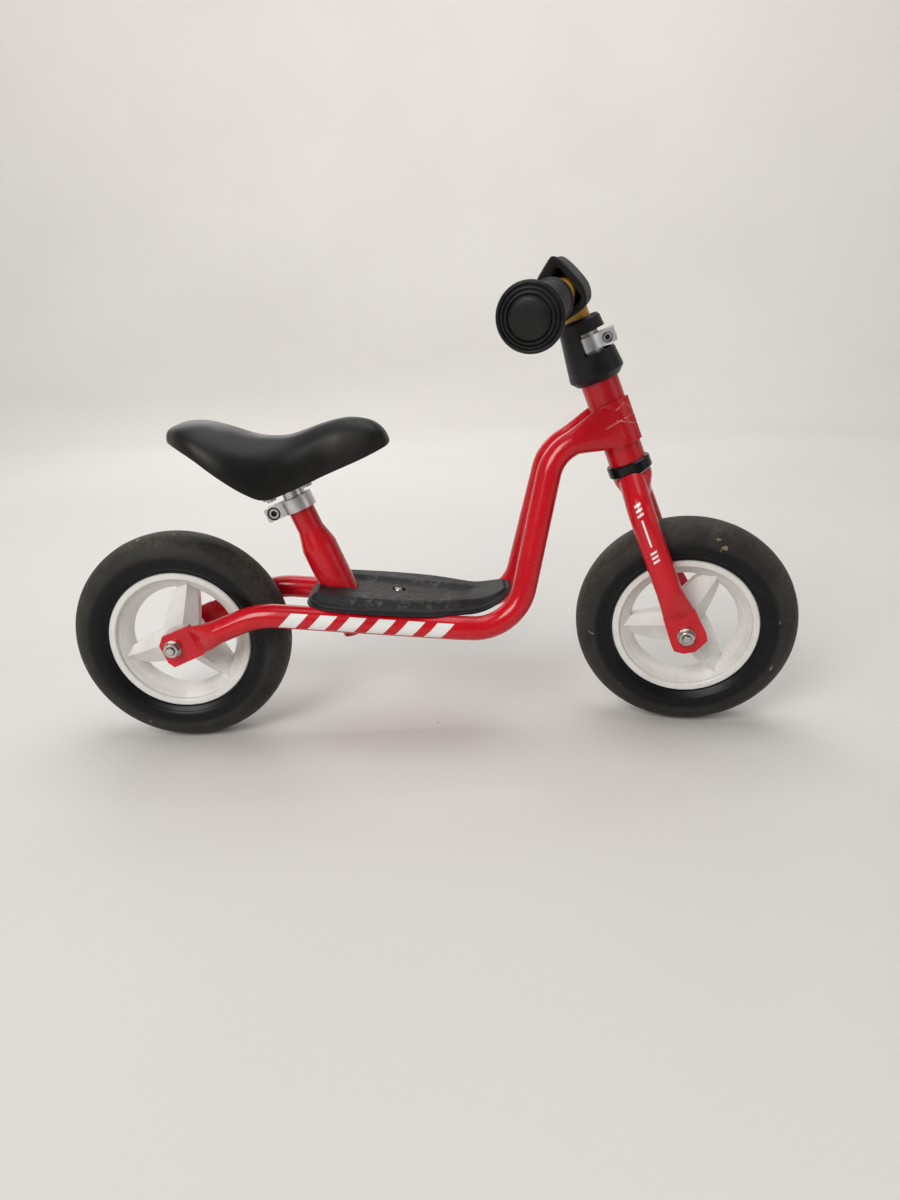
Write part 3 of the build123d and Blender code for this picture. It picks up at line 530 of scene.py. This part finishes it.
def make_grip(side, name):
    """Ribbed rubber grip with a wide safety flange and stepped, domed end."""
    inner_at = 92.0
    slope = Vector((-BAR_SWEEP, side * BAR_HALF, -BAR_FALL))
    start = Vector((BAR_MIDDLE[0], 0.0, BAR_MIDDLE[1])) + slope * (inner_at / BAR_HALF)
    origin = fork_place @ start
    outward_dir = (fork_place.to_3x3() @ slope).normalized()
    up = (steer_axis - outward_dir * steer_axis.dot(outward_dir)).normalized()
    where = place(origin, outward_dir.cross(up), up)
    # inner collar, then the ribs, then the flange and the stepped end; points are (along, radius)
    profile = [(0.0, 11.05), (0.0, 14.8), (0.6, 15.9), (1.6, 16.5), (3.2, 16.6), (4.6, 16.0), (5.8, 14.9)]
    rib = [(-0.9, 14.35), (-0.5, 14.95), (0.0, 15.15), (1.4, 15.15), (1.9, 14.95), (2.3, 14.35)]
    first_rib, rib_count, rib_pitch = 8.0, 17, 4.2
    for k in range(rib_count):
        profile += [(first_rib + k * rib_pitch + along, radius) for along, radius in rib]
    profile += [
        (81.0, 15.4), (83.6, 17.4), (85.6, 19.9), (86.8, 22.0), (88.0, 22.9), (89.6, 23.1),
        (91.0, 22.9), (91.9, 22.2), (92.1, 21.3), (91.8, 20.6), (90.9, 20.2), (91.0, 19.8),
        (92.6, 19.3), (93.1, 18.7), (93.0, 18.0), (91.9, 17.6), (92.1, 17.1), (93.9, 16.6),
        (94.3, 15.9), (94.2, 15.2), (93.1, 14.7), (93.5, 14.2), (95.0, 13.4), (95.8, 11.0),
        (96.1, 7.5), (96.35, 3.5), (96.4, 0.05), (86.0, 0.05), (86.0, 11.05),
    ]
    grip = lathe(name, profile, where, 96)
    grip.data.materials.append(grip_look.material)
    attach(grip, "handlebar")
    return grip


for side, end in ((-1, "right"), (1, "left")):
    piece = make_grip(side, f"grip_{end}_detail")
    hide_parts(f"grip_{end}")

# ---- Saddle ----
cover = Look("saddle_cover", 0.42, Specular_IOR_Level=0.3)
rub = cover.ramp(cover.noise(22, 5, 0.6), 0.42, 0.75)
cover.colour(cover.mix(rub, (0.0062, 0.0061, 0.0062), (0.013, 0.0118, 0.011)))
cover.roughness(rub, 0.36, 0.55)
grain = cover.bump(cover.cells(1100, "SMOOTH_F1"), 0.00018, 0.45)
cover.bump(cover.noise(55, 3), 0.0006, 0.25, grain)

# sections from rear to nose: place along the bike, half width, height of the skirt and of the crown
saddle_sections = [
    (11.4, 4.0, 291.6, 294.4), (12.4, 10.5, 290.0, 297.0), (15.2, 18.0, 288.8, 299.6),
    (20.0, 25.5, 287.8, 301.8), (30.0, 37.5, 284.6, 304.8), (45.0, 47.5, 277.0, 304.4),
    (65.0, 52.0, 262.0, 299.0), (85.0, 49.5, 247.5, 292.5), (101.0, 44.0, 240.4, 289.8),
    (121.0, 35.0, 245.5, 290.6), (150.0, 26.5, 257.0, 299.5), (168.0, 24.4, 264.0, 303.4),
    (180.0, 23.0, 268.5, 303.4), (192.0, 21.0, 273.5, 300.8), (200.0, 17.8, 277.0, 296.2),
    (205.0, 13.0, 279.0, 290.4), (207.3, 7.5, 280.2, 285.6), (208.0, 3.5, 281.0, 283.4),
]


def saddle_ring(x, half_width, skirt, crown, count=34):
    """Crowned section with a full shoulder, its lower edge rolled in round the base shell."""
    # powers under 1 make the section squarer than an ellipse
    side_power, top_power = 0.92, 0.80
    ring = []
    for k in range(count + 1):
        c, s = cos(pi * k / count), sin(pi * k / count)
        y = half_width * np.sign(c) * abs(c) ** side_power
        z = skirt + (crown - skirt) * s ** top_power
        ring.append((float(x), float(y), float(z)))
    # the rolled edge as (inwards, upwards) from the skirt, made smaller on the small end sections
    tuck = min(1.0, half_width / 25, (crown - skirt) / 14)
    hollow = 6.3
    under = [(0.4, -0.9), (1.7, -1.7), (3.4, -1.1), (4.0, 2.0), (4.6, 6.2), (10.0, hollow)]
    left = [(x, -(half_width - inward * tuck), skirt + up * tuck) for inward, up in under]
    right = [(a, -b, c) for a, b, c in reversed(left)]
    return ring + left + [(x, 0.0, skirt + hollow * tuck)] + right


def make_saddle():
    """Cushion skinned over its sections, closed by a slightly pushed-out point at each end."""
    lines = smooth_path(saddle_sections, 6)
    rings = [saddle_ring(*line) for line in lines]
    count = len(rings[0])
    points = [p for ring in rings for p in ring]
    faces = grid_faces(len(rings), count, False, True)
    for ring, base in ((rings[0], 0), (rings[-1], (len(rings) - 1) * count)):
        middle = np.mean(ring, axis=0)
        push = -0.3 if base == 0 else 0.3
        points.append((float(middle[0] + push), 0.0, float(middle[2])))
        faces += [(base + j, base + (j + 1) % count, len(points) - 1) for j in range(count)]
    saddle = outward(new_mesh("saddle_cushion_detail", points, faces, saddle_place))
    saddle.data.materials.append(cover.material)
    modifier(saddle, "SUBSURF", levels=1, render_levels=1)
    return apply_modifiers(saddle)


saddle = make_saddle()
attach(saddle, "saddle")
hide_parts("saddle_cushion")

# ---- Handlebar pad ----
PAD_HALF = 52.0
fabric = Look("pad_fabric", 0.7, Specular_IOR_Level=0.25, Sheen_Weight=0.1, Sheen_Roughness=0.4)
px, py, pz = fabric.local(fork_place)
weave_pitch, stitch_pitch = 0.75, 3.2
weft = fabric.math("SINE", fabric.math("MULTIPLY", py, 2 * pi / weave_pitch))
warp_line = fabric.math("ADD", px, pz)
warp = fabric.math("SINE", fabric.math("MULTIPLY", warp_line, 2 * pi / weave_pitch))
weave = fabric.math("MULTIPLY", weft, warp)
lint = fabric.ramp(fabric.noise(420, 4, 0.7), 0.62, 0.78)
fabric.colour(fabric.mix(lint, (0.0055, 0.0055, 0.006), (0.022, 0.021, 0.020)))
threads = fabric.bump(weave, 0.00016, 0.5)
# a stitched binding runs round each end
seam_at, seam_half = PAD_HALF - 6.0, 0.4
seam = fabric.band(fabric.math("ABSOLUTE", py), seam_at - seam_half, seam_at + seam_half, 0.5)
stitch_wave = fabric.math("SINE", fabric.math("MULTIPLY", warp_line, 2 * pi / stitch_pitch))
stitch = fabric.ramp(stitch_wave, -0.2, 0.3)
sunk = fabric.math("MULTIPLY", seam, -1.0)
sewn = fabric.math("MULTIPLY_ADD", fabric.math("MULTIPLY", seam, stitch), 0.6, sunk)
bound = fabric.bump(sewn, 0.0007, 0.9, threads)
fabric.bump(fabric.noise(85, 5, 0.6, 0.8, (1, 2.2, 1)), 0.0012, 0.45, bound)

# the sleeve's outer and inner lines as (x, z) in the fork's frame, from the upper rear round the top
pad_outer = [
    (-16.5, 338.2), (-10.6, 342.5), (-4.0, 347.4), (-0.5, 349.8), (2.0, 350.0), (5.5, 346.0),
    (9.5, 338.5), (13.6, 328.8), (16.2, 321.2), (16.6, 314.5), (15.0, 307.5), (11.0, 304.0),
    (2.0, 301.5), (-5.0, 300.1), (-8.0, 300.2), (-16.0, 303.5), (-21.0, 311.0), (-22.0, 322.0),
    (-20.5, 332.0),
]
pad_inner = [
    (-3.0, 337.0), (-0.5, 340.6), (1.5, 342.4), (4.6, 336.0), (8.6, 326.0), (10.4, 318.0),
    (12.0, 312.4), (7.1, 308.8), (-4.4, 306.7), (-12.5, 309.0), (-15.0, 318.0), (-12.5, 330.0),
    (-8.0, 334.5),
]


def closed_path(points, steps):
    """Smooth closed line through the points, which starts at the first one."""
    loop = smooth_path(list(points[-2:]) + list(points) + list(points[:3]), steps)
    return loop[2 * steps:(2 + len(points)) * steps]


def resample(loop, count):
    """Closed line as evenly spaced points, the first one kept."""
    ring = np.array(loop + loop[:1])
    run = np.concatenate([[0], np.cumsum(np.linalg.norm(np.diff(ring, axis=0), axis=1))])
    at = np.linspace(0, run[-1], count, endpoint=False)
    return np.stack([np.interp(at, run, ring[:, 0]), np.interp(at, run, ring[:, 1])], axis=1)


def clear_of_bar(point, across, least, most):
    """Keeps a point of the section between two distances from the bar's bent centre line."""
    share = abs(across) / BAR_HALF
    middle = np.array([BAR_MIDDLE[0] - BAR_SWEEP * share, BAR_MIDDLE[1] - BAR_FALL * share])
    away = point - middle
    gap = np.linalg.norm(away)
    return middle + away * (min(max(gap, least), most) / gap)


def make_pad():
    """Padded sleeve round the bar: two foam walls that meet in a crease at the top."""
    around, rows = 96, 27
    outer = resample(closed_path(pad_outer, 6), around)
    inner = resample(closed_path(pad_inner, 6), around)
    start = int(np.argmin([np.linalg.norm(p - outer[0]) for p in inner]))
    inner = np.roll(inner, -start, axis=0)
    points = []
    far = 99.0
    for layer, other, least, hugging in ((outer, inner, 14.2, far), (inner, outer, 11.5, 11.6)):
        for k in range(rows):
            share = -1 + 2 * k / (rows - 1)
            across = PAD_HALF * share
            # both walls draw together at the ends
            pinch = 0.16 * abs(share) ** 10
            # in the middle the inner wall hugs the bar, and towards the ends it stands off
            most = float(np.interp(abs(across), (20, 40), (hugging, max(hugging, 40))))
            for here, facing in zip(layer, other):
                here = clear_of_bar(here + ((here + facing) / 2 - here) * pinch, across, least, most)
                points.append((float(here[0]), across, float(here[1])))
    faces = grid_faces(rows, around, False, True)
    shift = rows * around
    faces += [tuple(shift + i for i in reversed(f)) for f in grid_faces(rows, around, False, True)]
    for row in (0, rows - 1):
        for j in range(around):
            a, b = row * around + j, row * around + (j + 1) % around
            faces.append((a, b, shift + b, shift + a))
    return outward(new_mesh("handlebar_pad_detail", points, faces, fork_place))


def simulate(obj, voxel, pressure, cap, frames=20):
    """Swells a padded piece: voxel remesh, then cloth under pressure without gravity.

    No point moves further than cap. The voxel size and the cap are in metres.
    """
    modifier(obj, "REMESH", mode="VOXEL", voxel_size=voxel)
    apply_modifiers(obj)
    rest = np.array([v.co for v in obj.data.vertices], float)
    cloth = modifier(obj, "CLOTH")
    cloth.settings.use_pressure = True
    cloth.settings.uniform_pressure_force = pressure
    cloth.settings.effector_weights.gravity = 0
    cloth.settings.quality = 6
    cloth.settings.mass = 0.3
    cloth.settings.tension_stiffness = 25
    cloth.settings.compression_stiffness = 25
    cloth.settings.bending_stiffness = 2.0
    scene = bpy.context.scene
    for step in range(1, frames + 1):
        scene.frame_set(step)
    evaluated = obj.evaluated_get(bpy.context.evaluated_depsgraph_get())
    moved = np.array([v.co for v in evaluated.data.vertices], float)
    scene.frame_set(1)
    obj.modifiers.clear()
    step = moved - rest
    length = np.maximum(np.linalg.norm(step, axis=1, keepdims=True), 1e-9)
    moved = rest + step * np.minimum(1.0, cap / length)
    obj.data.vertices.foreach_set("co", moved.ravel())
    obj.data.update()
    obj.data.polygons.foreach_set("use_smooth", [True] * len(obj.data.polygons))


pad = make_pad()
simulate(pad, voxel=0.0024, pressure=3.0, cap=0.0016)
modifier(pad, "SUBSURF", levels=1, render_levels=1)
apply_modifiers(pad)
pad.data.materials.append(fabric.material)
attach(pad, "handlebar")
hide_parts("handlebar_pad")

# ---- Footboard ----
BOARD_REAR, BOARD_TIP, RECESS_RADIUS = -83.0, 105.0, 6.2
# forwards of TOE_START the board curls up, by TOE_RISE at its tip
TOE_START, TOE_RISE = 66, 19.0
board_look = plastic(
    "footboard_plastic", (0.0125, 0.013, 0.0145), 0.5, grain=1100, relief=0.0002, dust=0.2
)
bx, by, bz = board_look.local(board_place)
# scuffed on the upper side, over the middle of its length
scuff = board_look.math(
    "MULTIPLY",
    board_look.ramp(board_look.noise(160, 7, 0.75), 0.50, 0.72),
    board_look.math("MULTIPLY", board_look.band(bx, -40, 48, 16), board_look.ramp(bz, 4, 8)),
)
dusty = board_look.mix(
    board_look.math("MULTIPLY", scuff, 0.7),
    board_look.painted(),
    (0.17, 0.16, 0.14),
)
from_screw = board_look.distance(bx, by)
# painted shade: the board's faces inside the screw's recess are painted near black
painted_recess_shade = board_look.ramp(from_screw, RECESS_RADIUS + 0.8, RECESS_RADIUS)
board_look.colour(board_look.mix(painted_recess_shade, dusty, (0.002, 0.002, 0.002)))

# half of the plan outline as (along, half width), from heel to toe
board_outline = smooth_path(
    [
        (-83.0, 0.5), (-82.9, 12), (-82.6, 24), (-81.6, 33), (-78.5, 41), (-72.5, 47.5), (-63, 51.8),
        (-50, 54.2), (-25, 55.4), (0, 55.1), (20, 53.6), (36, 50.6), (49, 46), (59, 41.5),
        (68, 37.5), (78, 34.2), (88, 31), (95, 27), (100, 21.5), (103.4, 15), (105, 7),
    ],
    8,
)
board_xs, board_ys = np.array(board_outline).T


def board_half_width(x):
    """Plan outline of the board: round heel, full middle and tapering toe."""
    return float(np.interp(x, board_xs, board_ys))


def toe_share(x):
    """0 up to the start of the toe, rising to 1 at its tip."""
    return max(0.0, (x - TOE_START) / (BOARD_TIP - TOE_START))


def board_floor(x):
    """Height of the underside, curling up at the toe."""
    return TOE_RISE * toe_share(x) ** 2


def soft_step(value, softness):
    """0 well below zero, rising smoothly to 1 well above it."""
    return 1 / (1 + np.exp(-value / softness))


def board_height(x, y):
    """Height of the upper side: edge band, sloping wall, crest, and the sunk channel in the middle."""
    band, crest, channel_depth, toe_thinning = 5.0, 12.0, 3.6, 0.62
    edge = max(0.0, board_half_width(x) - abs(y))
    edge = min(edge, min(x - BOARD_REAR, BOARD_TIP - x) * 1.3)
    wall_width = float(np.interp(x, (40, 80), (9.5, 6.0)))
    wall = min(1.0, max(0.0, (edge - 1.6) / wall_width))
    wall = wall * wall * (3 - 2 * wall)
    height = band + (crest - band) * wall
    # the channel narrows forwards and runs out softly at both ends
    channel_half = float(np.interp(x, (-45, -20, 20, 65, 76), (27, 25, 19.5, 15, 9)))
    channel = soft_step(channel_half - abs(y), 0.8) * soft_step(x + 46.0, 1.6) * soft_step(72.0 - x, 2.5)
    height -= channel_depth * channel * wall
    rounding = max(0.0, 1.4 - edge)
    height -= rounding * rounding * 0.7
    return board_floor(x) + height * (1 - toe_thinning * toe_share(x) ** 2)


def make_board():
    """Board with a shaped top, plain underside and thin lip, the seat tube's hole and the screw's recess."""
    columns, inset, lip = 84, 0.978, 2.2
    # finer rows at heel and toe, where the outline turns
    xs = np.concatenate(
        [np.linspace(BOARD_REAR, -60, 16), np.linspace(-57, 90, 84), np.linspace(92, BOARD_TIP, 14)]
    )
    shares = np.sin(np.linspace(-pi / 2, pi / 2, columns)) * 0.45 + np.linspace(-1, 1, columns) * 0.55
    middle = (BOARD_REAR + BOARD_TIP) / 2
    top, bottom = [], []
    for x in xs:
        half = board_half_width(x)
        for share in shares:
            y = half * share
            top.append((middle + (x - middle) * inset, y * inset, board_height(x, y)))
            bottom.append((x, y, board_floor(x) + 0.3))
    rows = len(xs)
    rim = [j for j in range(columns)] + [i * columns + columns - 1 for i in range(1, rows)]
    rim += [(rows - 1) * columns + j for j in range(columns - 2, -1, -1)]
    rim += [i * columns for i in range(rows - 2, 0, -1)]
    # the wall drops to a thin lip that runs round the lower edge
    step = [(top[i][0], top[i][1], bottom[i][2] + lip) for i in rim]
    ledge = [(bottom[i][0], bottom[i][1], bottom[i][2] + lip - 0.4) for i in rim]
    shift = rows * columns
    faces = grid_faces(rows, columns)
    faces += [tuple(shift + i for i in reversed(f)) for f in grid_faces(rows, columns)]
    step_start, ledge_start = 2 * shift, 2 * shift + len(rim)
    loops = [
        rim,
        range(step_start, step_start + len(rim)),
        range(ledge_start, ledge_start + len(rim)),
        [shift + i for i in rim],
    ]
    for upper, lower in zip(loops, loops[1:]):
        for k in range(len(rim)):
            after = (k + 1) % len(rim)
            faces.append((upper[k], upper[after], lower[after], lower[k]))
    board = outward(new_mesh("footboard_detail", top + bottom + step + ledge, faces, board_place))
    cutters = [
        tube_cutter("seat_hole", box_middle("seatpost"), seat_axis, radius=17.0, length=300),
        tube_cutter(
            "screw_recess", board_place @ Vector((0, 0, 16)), board_up, radius=RECESS_RADIUS, length=20
        ),
    ]
    for cutter in cutters:
        modifier(board, "BOOLEAN", operation="DIFFERENCE", object=cutter, solver="EXACT")
        apply_modifiers(board)
        bpy.data.objects.remove(cutter)
    board.data.polygons.foreach_set("use_smooth", [True] * len(board.data.polygons))
    board.data.set_sharp_from_angle(angle=radians(38))
    return board


def tube_cutter(name, middle, axis, radius, length):
    """Cylinder about an axis, used to cut a hole."""
    side = Vector((0, 1, 0))
    where = place(middle, axis.cross(side), axis)
    steps, points = 64, []
    for end in (-0.5, 0.5):
        points += [
            (radius * cos(2 * pi * k / steps), radius * sin(2 * pi * k / steps), end * length)
            for k in range(steps)
        ]
    faces = grid_faces(2, steps, False, True)
    faces += [tuple(range(steps)), tuple(range(2 * steps - 1, steps - 1, -1))]
    return outward(new_mesh(name, points, faces, where, smooth=False))


board = make_board()
board.data.materials.append(board_look.material)
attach(board, "frame")
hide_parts("footboard")


# ---- Axle nuts ----
def nut_look(name, where):
    """Zinc nut with painted shade in the gap where the threaded axle end comes through."""
    look = metal(name, (0.58, 0.565, 0.54), 0.16)
    away = look.from_axis(where)
    bright = look.painted()
    # painted shade: a dark ring where the axle comes out of the nut
    gap = look.band(away, 3.75, 4.35, 0.12)
    look.colour(look.mix(look.math("MULTIPLY", gap, 0.85), bright, (0.05, 0.045, 0.04)))
    return look.material


for end, where in (("rear", rear_place), ("front", fork_place)):
    made = nut_look(f"{end}_nut_steel", where)
    materials[f"{end}_axle_nuts"] = made
    materials[f"{end}_axle"] = made


# ---- Clamps and bolts ----
def bolt_place(bolt, frame_place):
    """Place at the middle of a bolt, turned like the clamp it goes through."""
    turned = frame_place.to_3x3()
    return place(box_middle(bolt), turned.col[0], turned.col[2])


def clamp_looks(clamp, bolt, frame_place, radius):
    """Satin clamp with painted shade in the gap round the bolt head, and a bolt with painted shade in its socket
    and a fine dark ring.

    The radius is that of the socket.
    """
    where = bolt_place(bolt, frame_place)
    collar = metal(clamp + "_aluminium", **SATIN_ALUMINIUM)
    away = collar.from_axis(where)
    # painted shade in the gap round the bolt head
    ring = collar.band(away, radius * 1.66, radius * 2.0, 0.12)
    bright = collar.painted()
    collar.colour(collar.mix(ring, bright, (0.02, 0.02, 0.022)))
    materials[clamp] = collar.material
    head = metal(bolt + "_steel", (0.60, 0.60, 0.61), 0.14)
    away = head.from_axis(where)
    bright = head.painted()
    # painted shade in the bolt's socket
    socket = head.ramp(away, radius, radius * 0.86)
    rim = head.band(away, radius * 1.3, radius * 1.38, 0.05)
    head.colour(head.mix(head.math("MAXIMUM", socket, rim), bright, (0.03, 0.03, 0.035)))
    materials[bolt] = head.material


seat_place = place(box_middle("seatpost"), Vector((0, 1, 0)).cross(seat_axis), seat_axis)
clamp_looks("seat_clamp", "seat_clamp_bolt", seat_place, radius=3.0)
clamp_looks("stem_clamp", "stem_clamp_bolt", fork_place, radius=2.2)

# ---- Finishes of the CAD nodes ----
slots = {part["node"]: part["material_slot"] for part in frame["record"]["subparts"]}
for name, obj in nodes.items():
    look = materials.get(name) or materials.get(slots[name])
    if look is not None:
        obj.data.materials.clear()
        obj.data.materials.append(look)

# ---- Floor and backdrop in one bowl, in metres; darker on the camera's side ----
stage_look = Look("pale_floor", 0.55, Specular_IOR_Level=0.3)
tone = stage_look.ramp(stage_look.noise(1.2, 2), 0.3, 0.7)
pale = stage_look.mix(tone, (0.70, 0.68, 0.65), (0.74, 0.72, 0.69))
split = stage_look.node("ShaderNodeSeparateXYZ")
stage_look.link(stage_look.coordinates, split.inputs[0])
behind = stage_look.ramp(split.outputs["Y"], -1.3, -2.2)
stage_look.colour(stage_look.mix(behind, pale, (0.38, 0.375, 0.37)))
stage_look.bump(stage_look.noise(90, 3), 0.0004, 0.1)
bowl_radius, bowl_curve, bowl_height = 4.2, 1.6, 3.4
bowl_profile = [(0.001, 0.0), (1.0, 0.0), (bowl_radius - bowl_curve, 0.0)]
bowl_profile += [
    (bowl_radius - bowl_curve + bowl_curve * sin(a), bowl_curve * (1 - cos(a)))
    for a in np.linspace(0.08, pi / 2, 18)
]
bowl_profile.append((bowl_radius, bowl_height))
turns = 96
bowl_points = [
    (r * cos(2 * pi * k / turns), r * sin(2 * pi * k / turns), z)
    for k in range(turns)
    for r, z in bowl_profile
]
floor = new_mesh("studio_floor", bowl_points, grid_faces(turns, len(bowl_profile), True, False))
floor.data.materials.append(stage_look.material)


# ---- Light ----
def area_light(name, position, target, size, power, colour=(1, 1, 1)):
    """Rectangular lamp at a position, turned to its target."""
    data = bpy.data.lights.new(name, "AREA")
    data.shape = "RECTANGLE"
    data.size, data.size_y = size
    data.energy = power
    data.color = colour
    obj = bpy.data.objects.new(name, data)
    obj.location = position
    obj.rotation_euler = (Vector(target) - Vector(position)).to_track_quat("-Z", "Y").to_euler()
    bpy.context.scene.collection.objects.link(obj)


area_light("window", (-1.3, -2.2, 1.9), (0, 0, 0.2), (1.3, 1.6), 60, (1.0, 0.985, 0.96))
area_light("sky", (0.2, 0.3, 2.6), (0, 0, 0.1), (2.2, 1.8), 27, (0.97, 0.985, 1.0))
area_light("fill", (2.2, -1.2, 1.2), (0, 0, 0.25), (1.4, 1.4), 4)
area_light("rear_fill", (-1.0, 2.4, 1.5), (0, 0, 0.25), (1.6, 1.4), 9)
area_light("backdrop", (0, 1.6, 2.9), (0, 4.2, 0.9), (3.0, 0.8), 60, (1.0, 0.99, 0.97))
world = bpy.data.worlds.new("studio_world")
bpy.context.scene.world = world
world.use_nodes = True
background = world.node_tree.nodes["Background"]
background.inputs["Color"].default_value = (0.93, 0.95, 1.0, 1)
background.inputs["Strength"].default_value = 0.16
bpy.context.scene.view_settings.view_transform = "Standard"

# ---- Camera: turned by yaw, tipped down by pitch, then rolled ----
yaw, pitch, roll = -0.01401, 0.32156, 0.03439
camera_spot = Vector((0.02683, -0.71641, 0.36831))
forward = Vector((sin(yaw) * cos(pitch), cos(yaw) * cos(pitch), -sin(pitch)))
level = forward.cross(Vector((0, 0, 1))).normalized()
upright = level.cross(forward)
camera_right = level * cos(roll) - upright * sin(roll)
camera_up = camera_right.cross(forward)
camera_data = bpy.data.cameras.new("camera")
camera_data.sensor_width = 36.0
camera_data.lens = 23.72
camera = bpy.data.objects.new("camera", camera_data)
rows = [[camera_right[i], camera_up[i], -forward[i], camera_spot[i]] for i in range(3)]
camera.matrix_world = Matrix(rows + [[0, 0, 0, 1]])
bpy.context.scene.collection.objects.link(camera)
bpy.context.scene.camera = camera
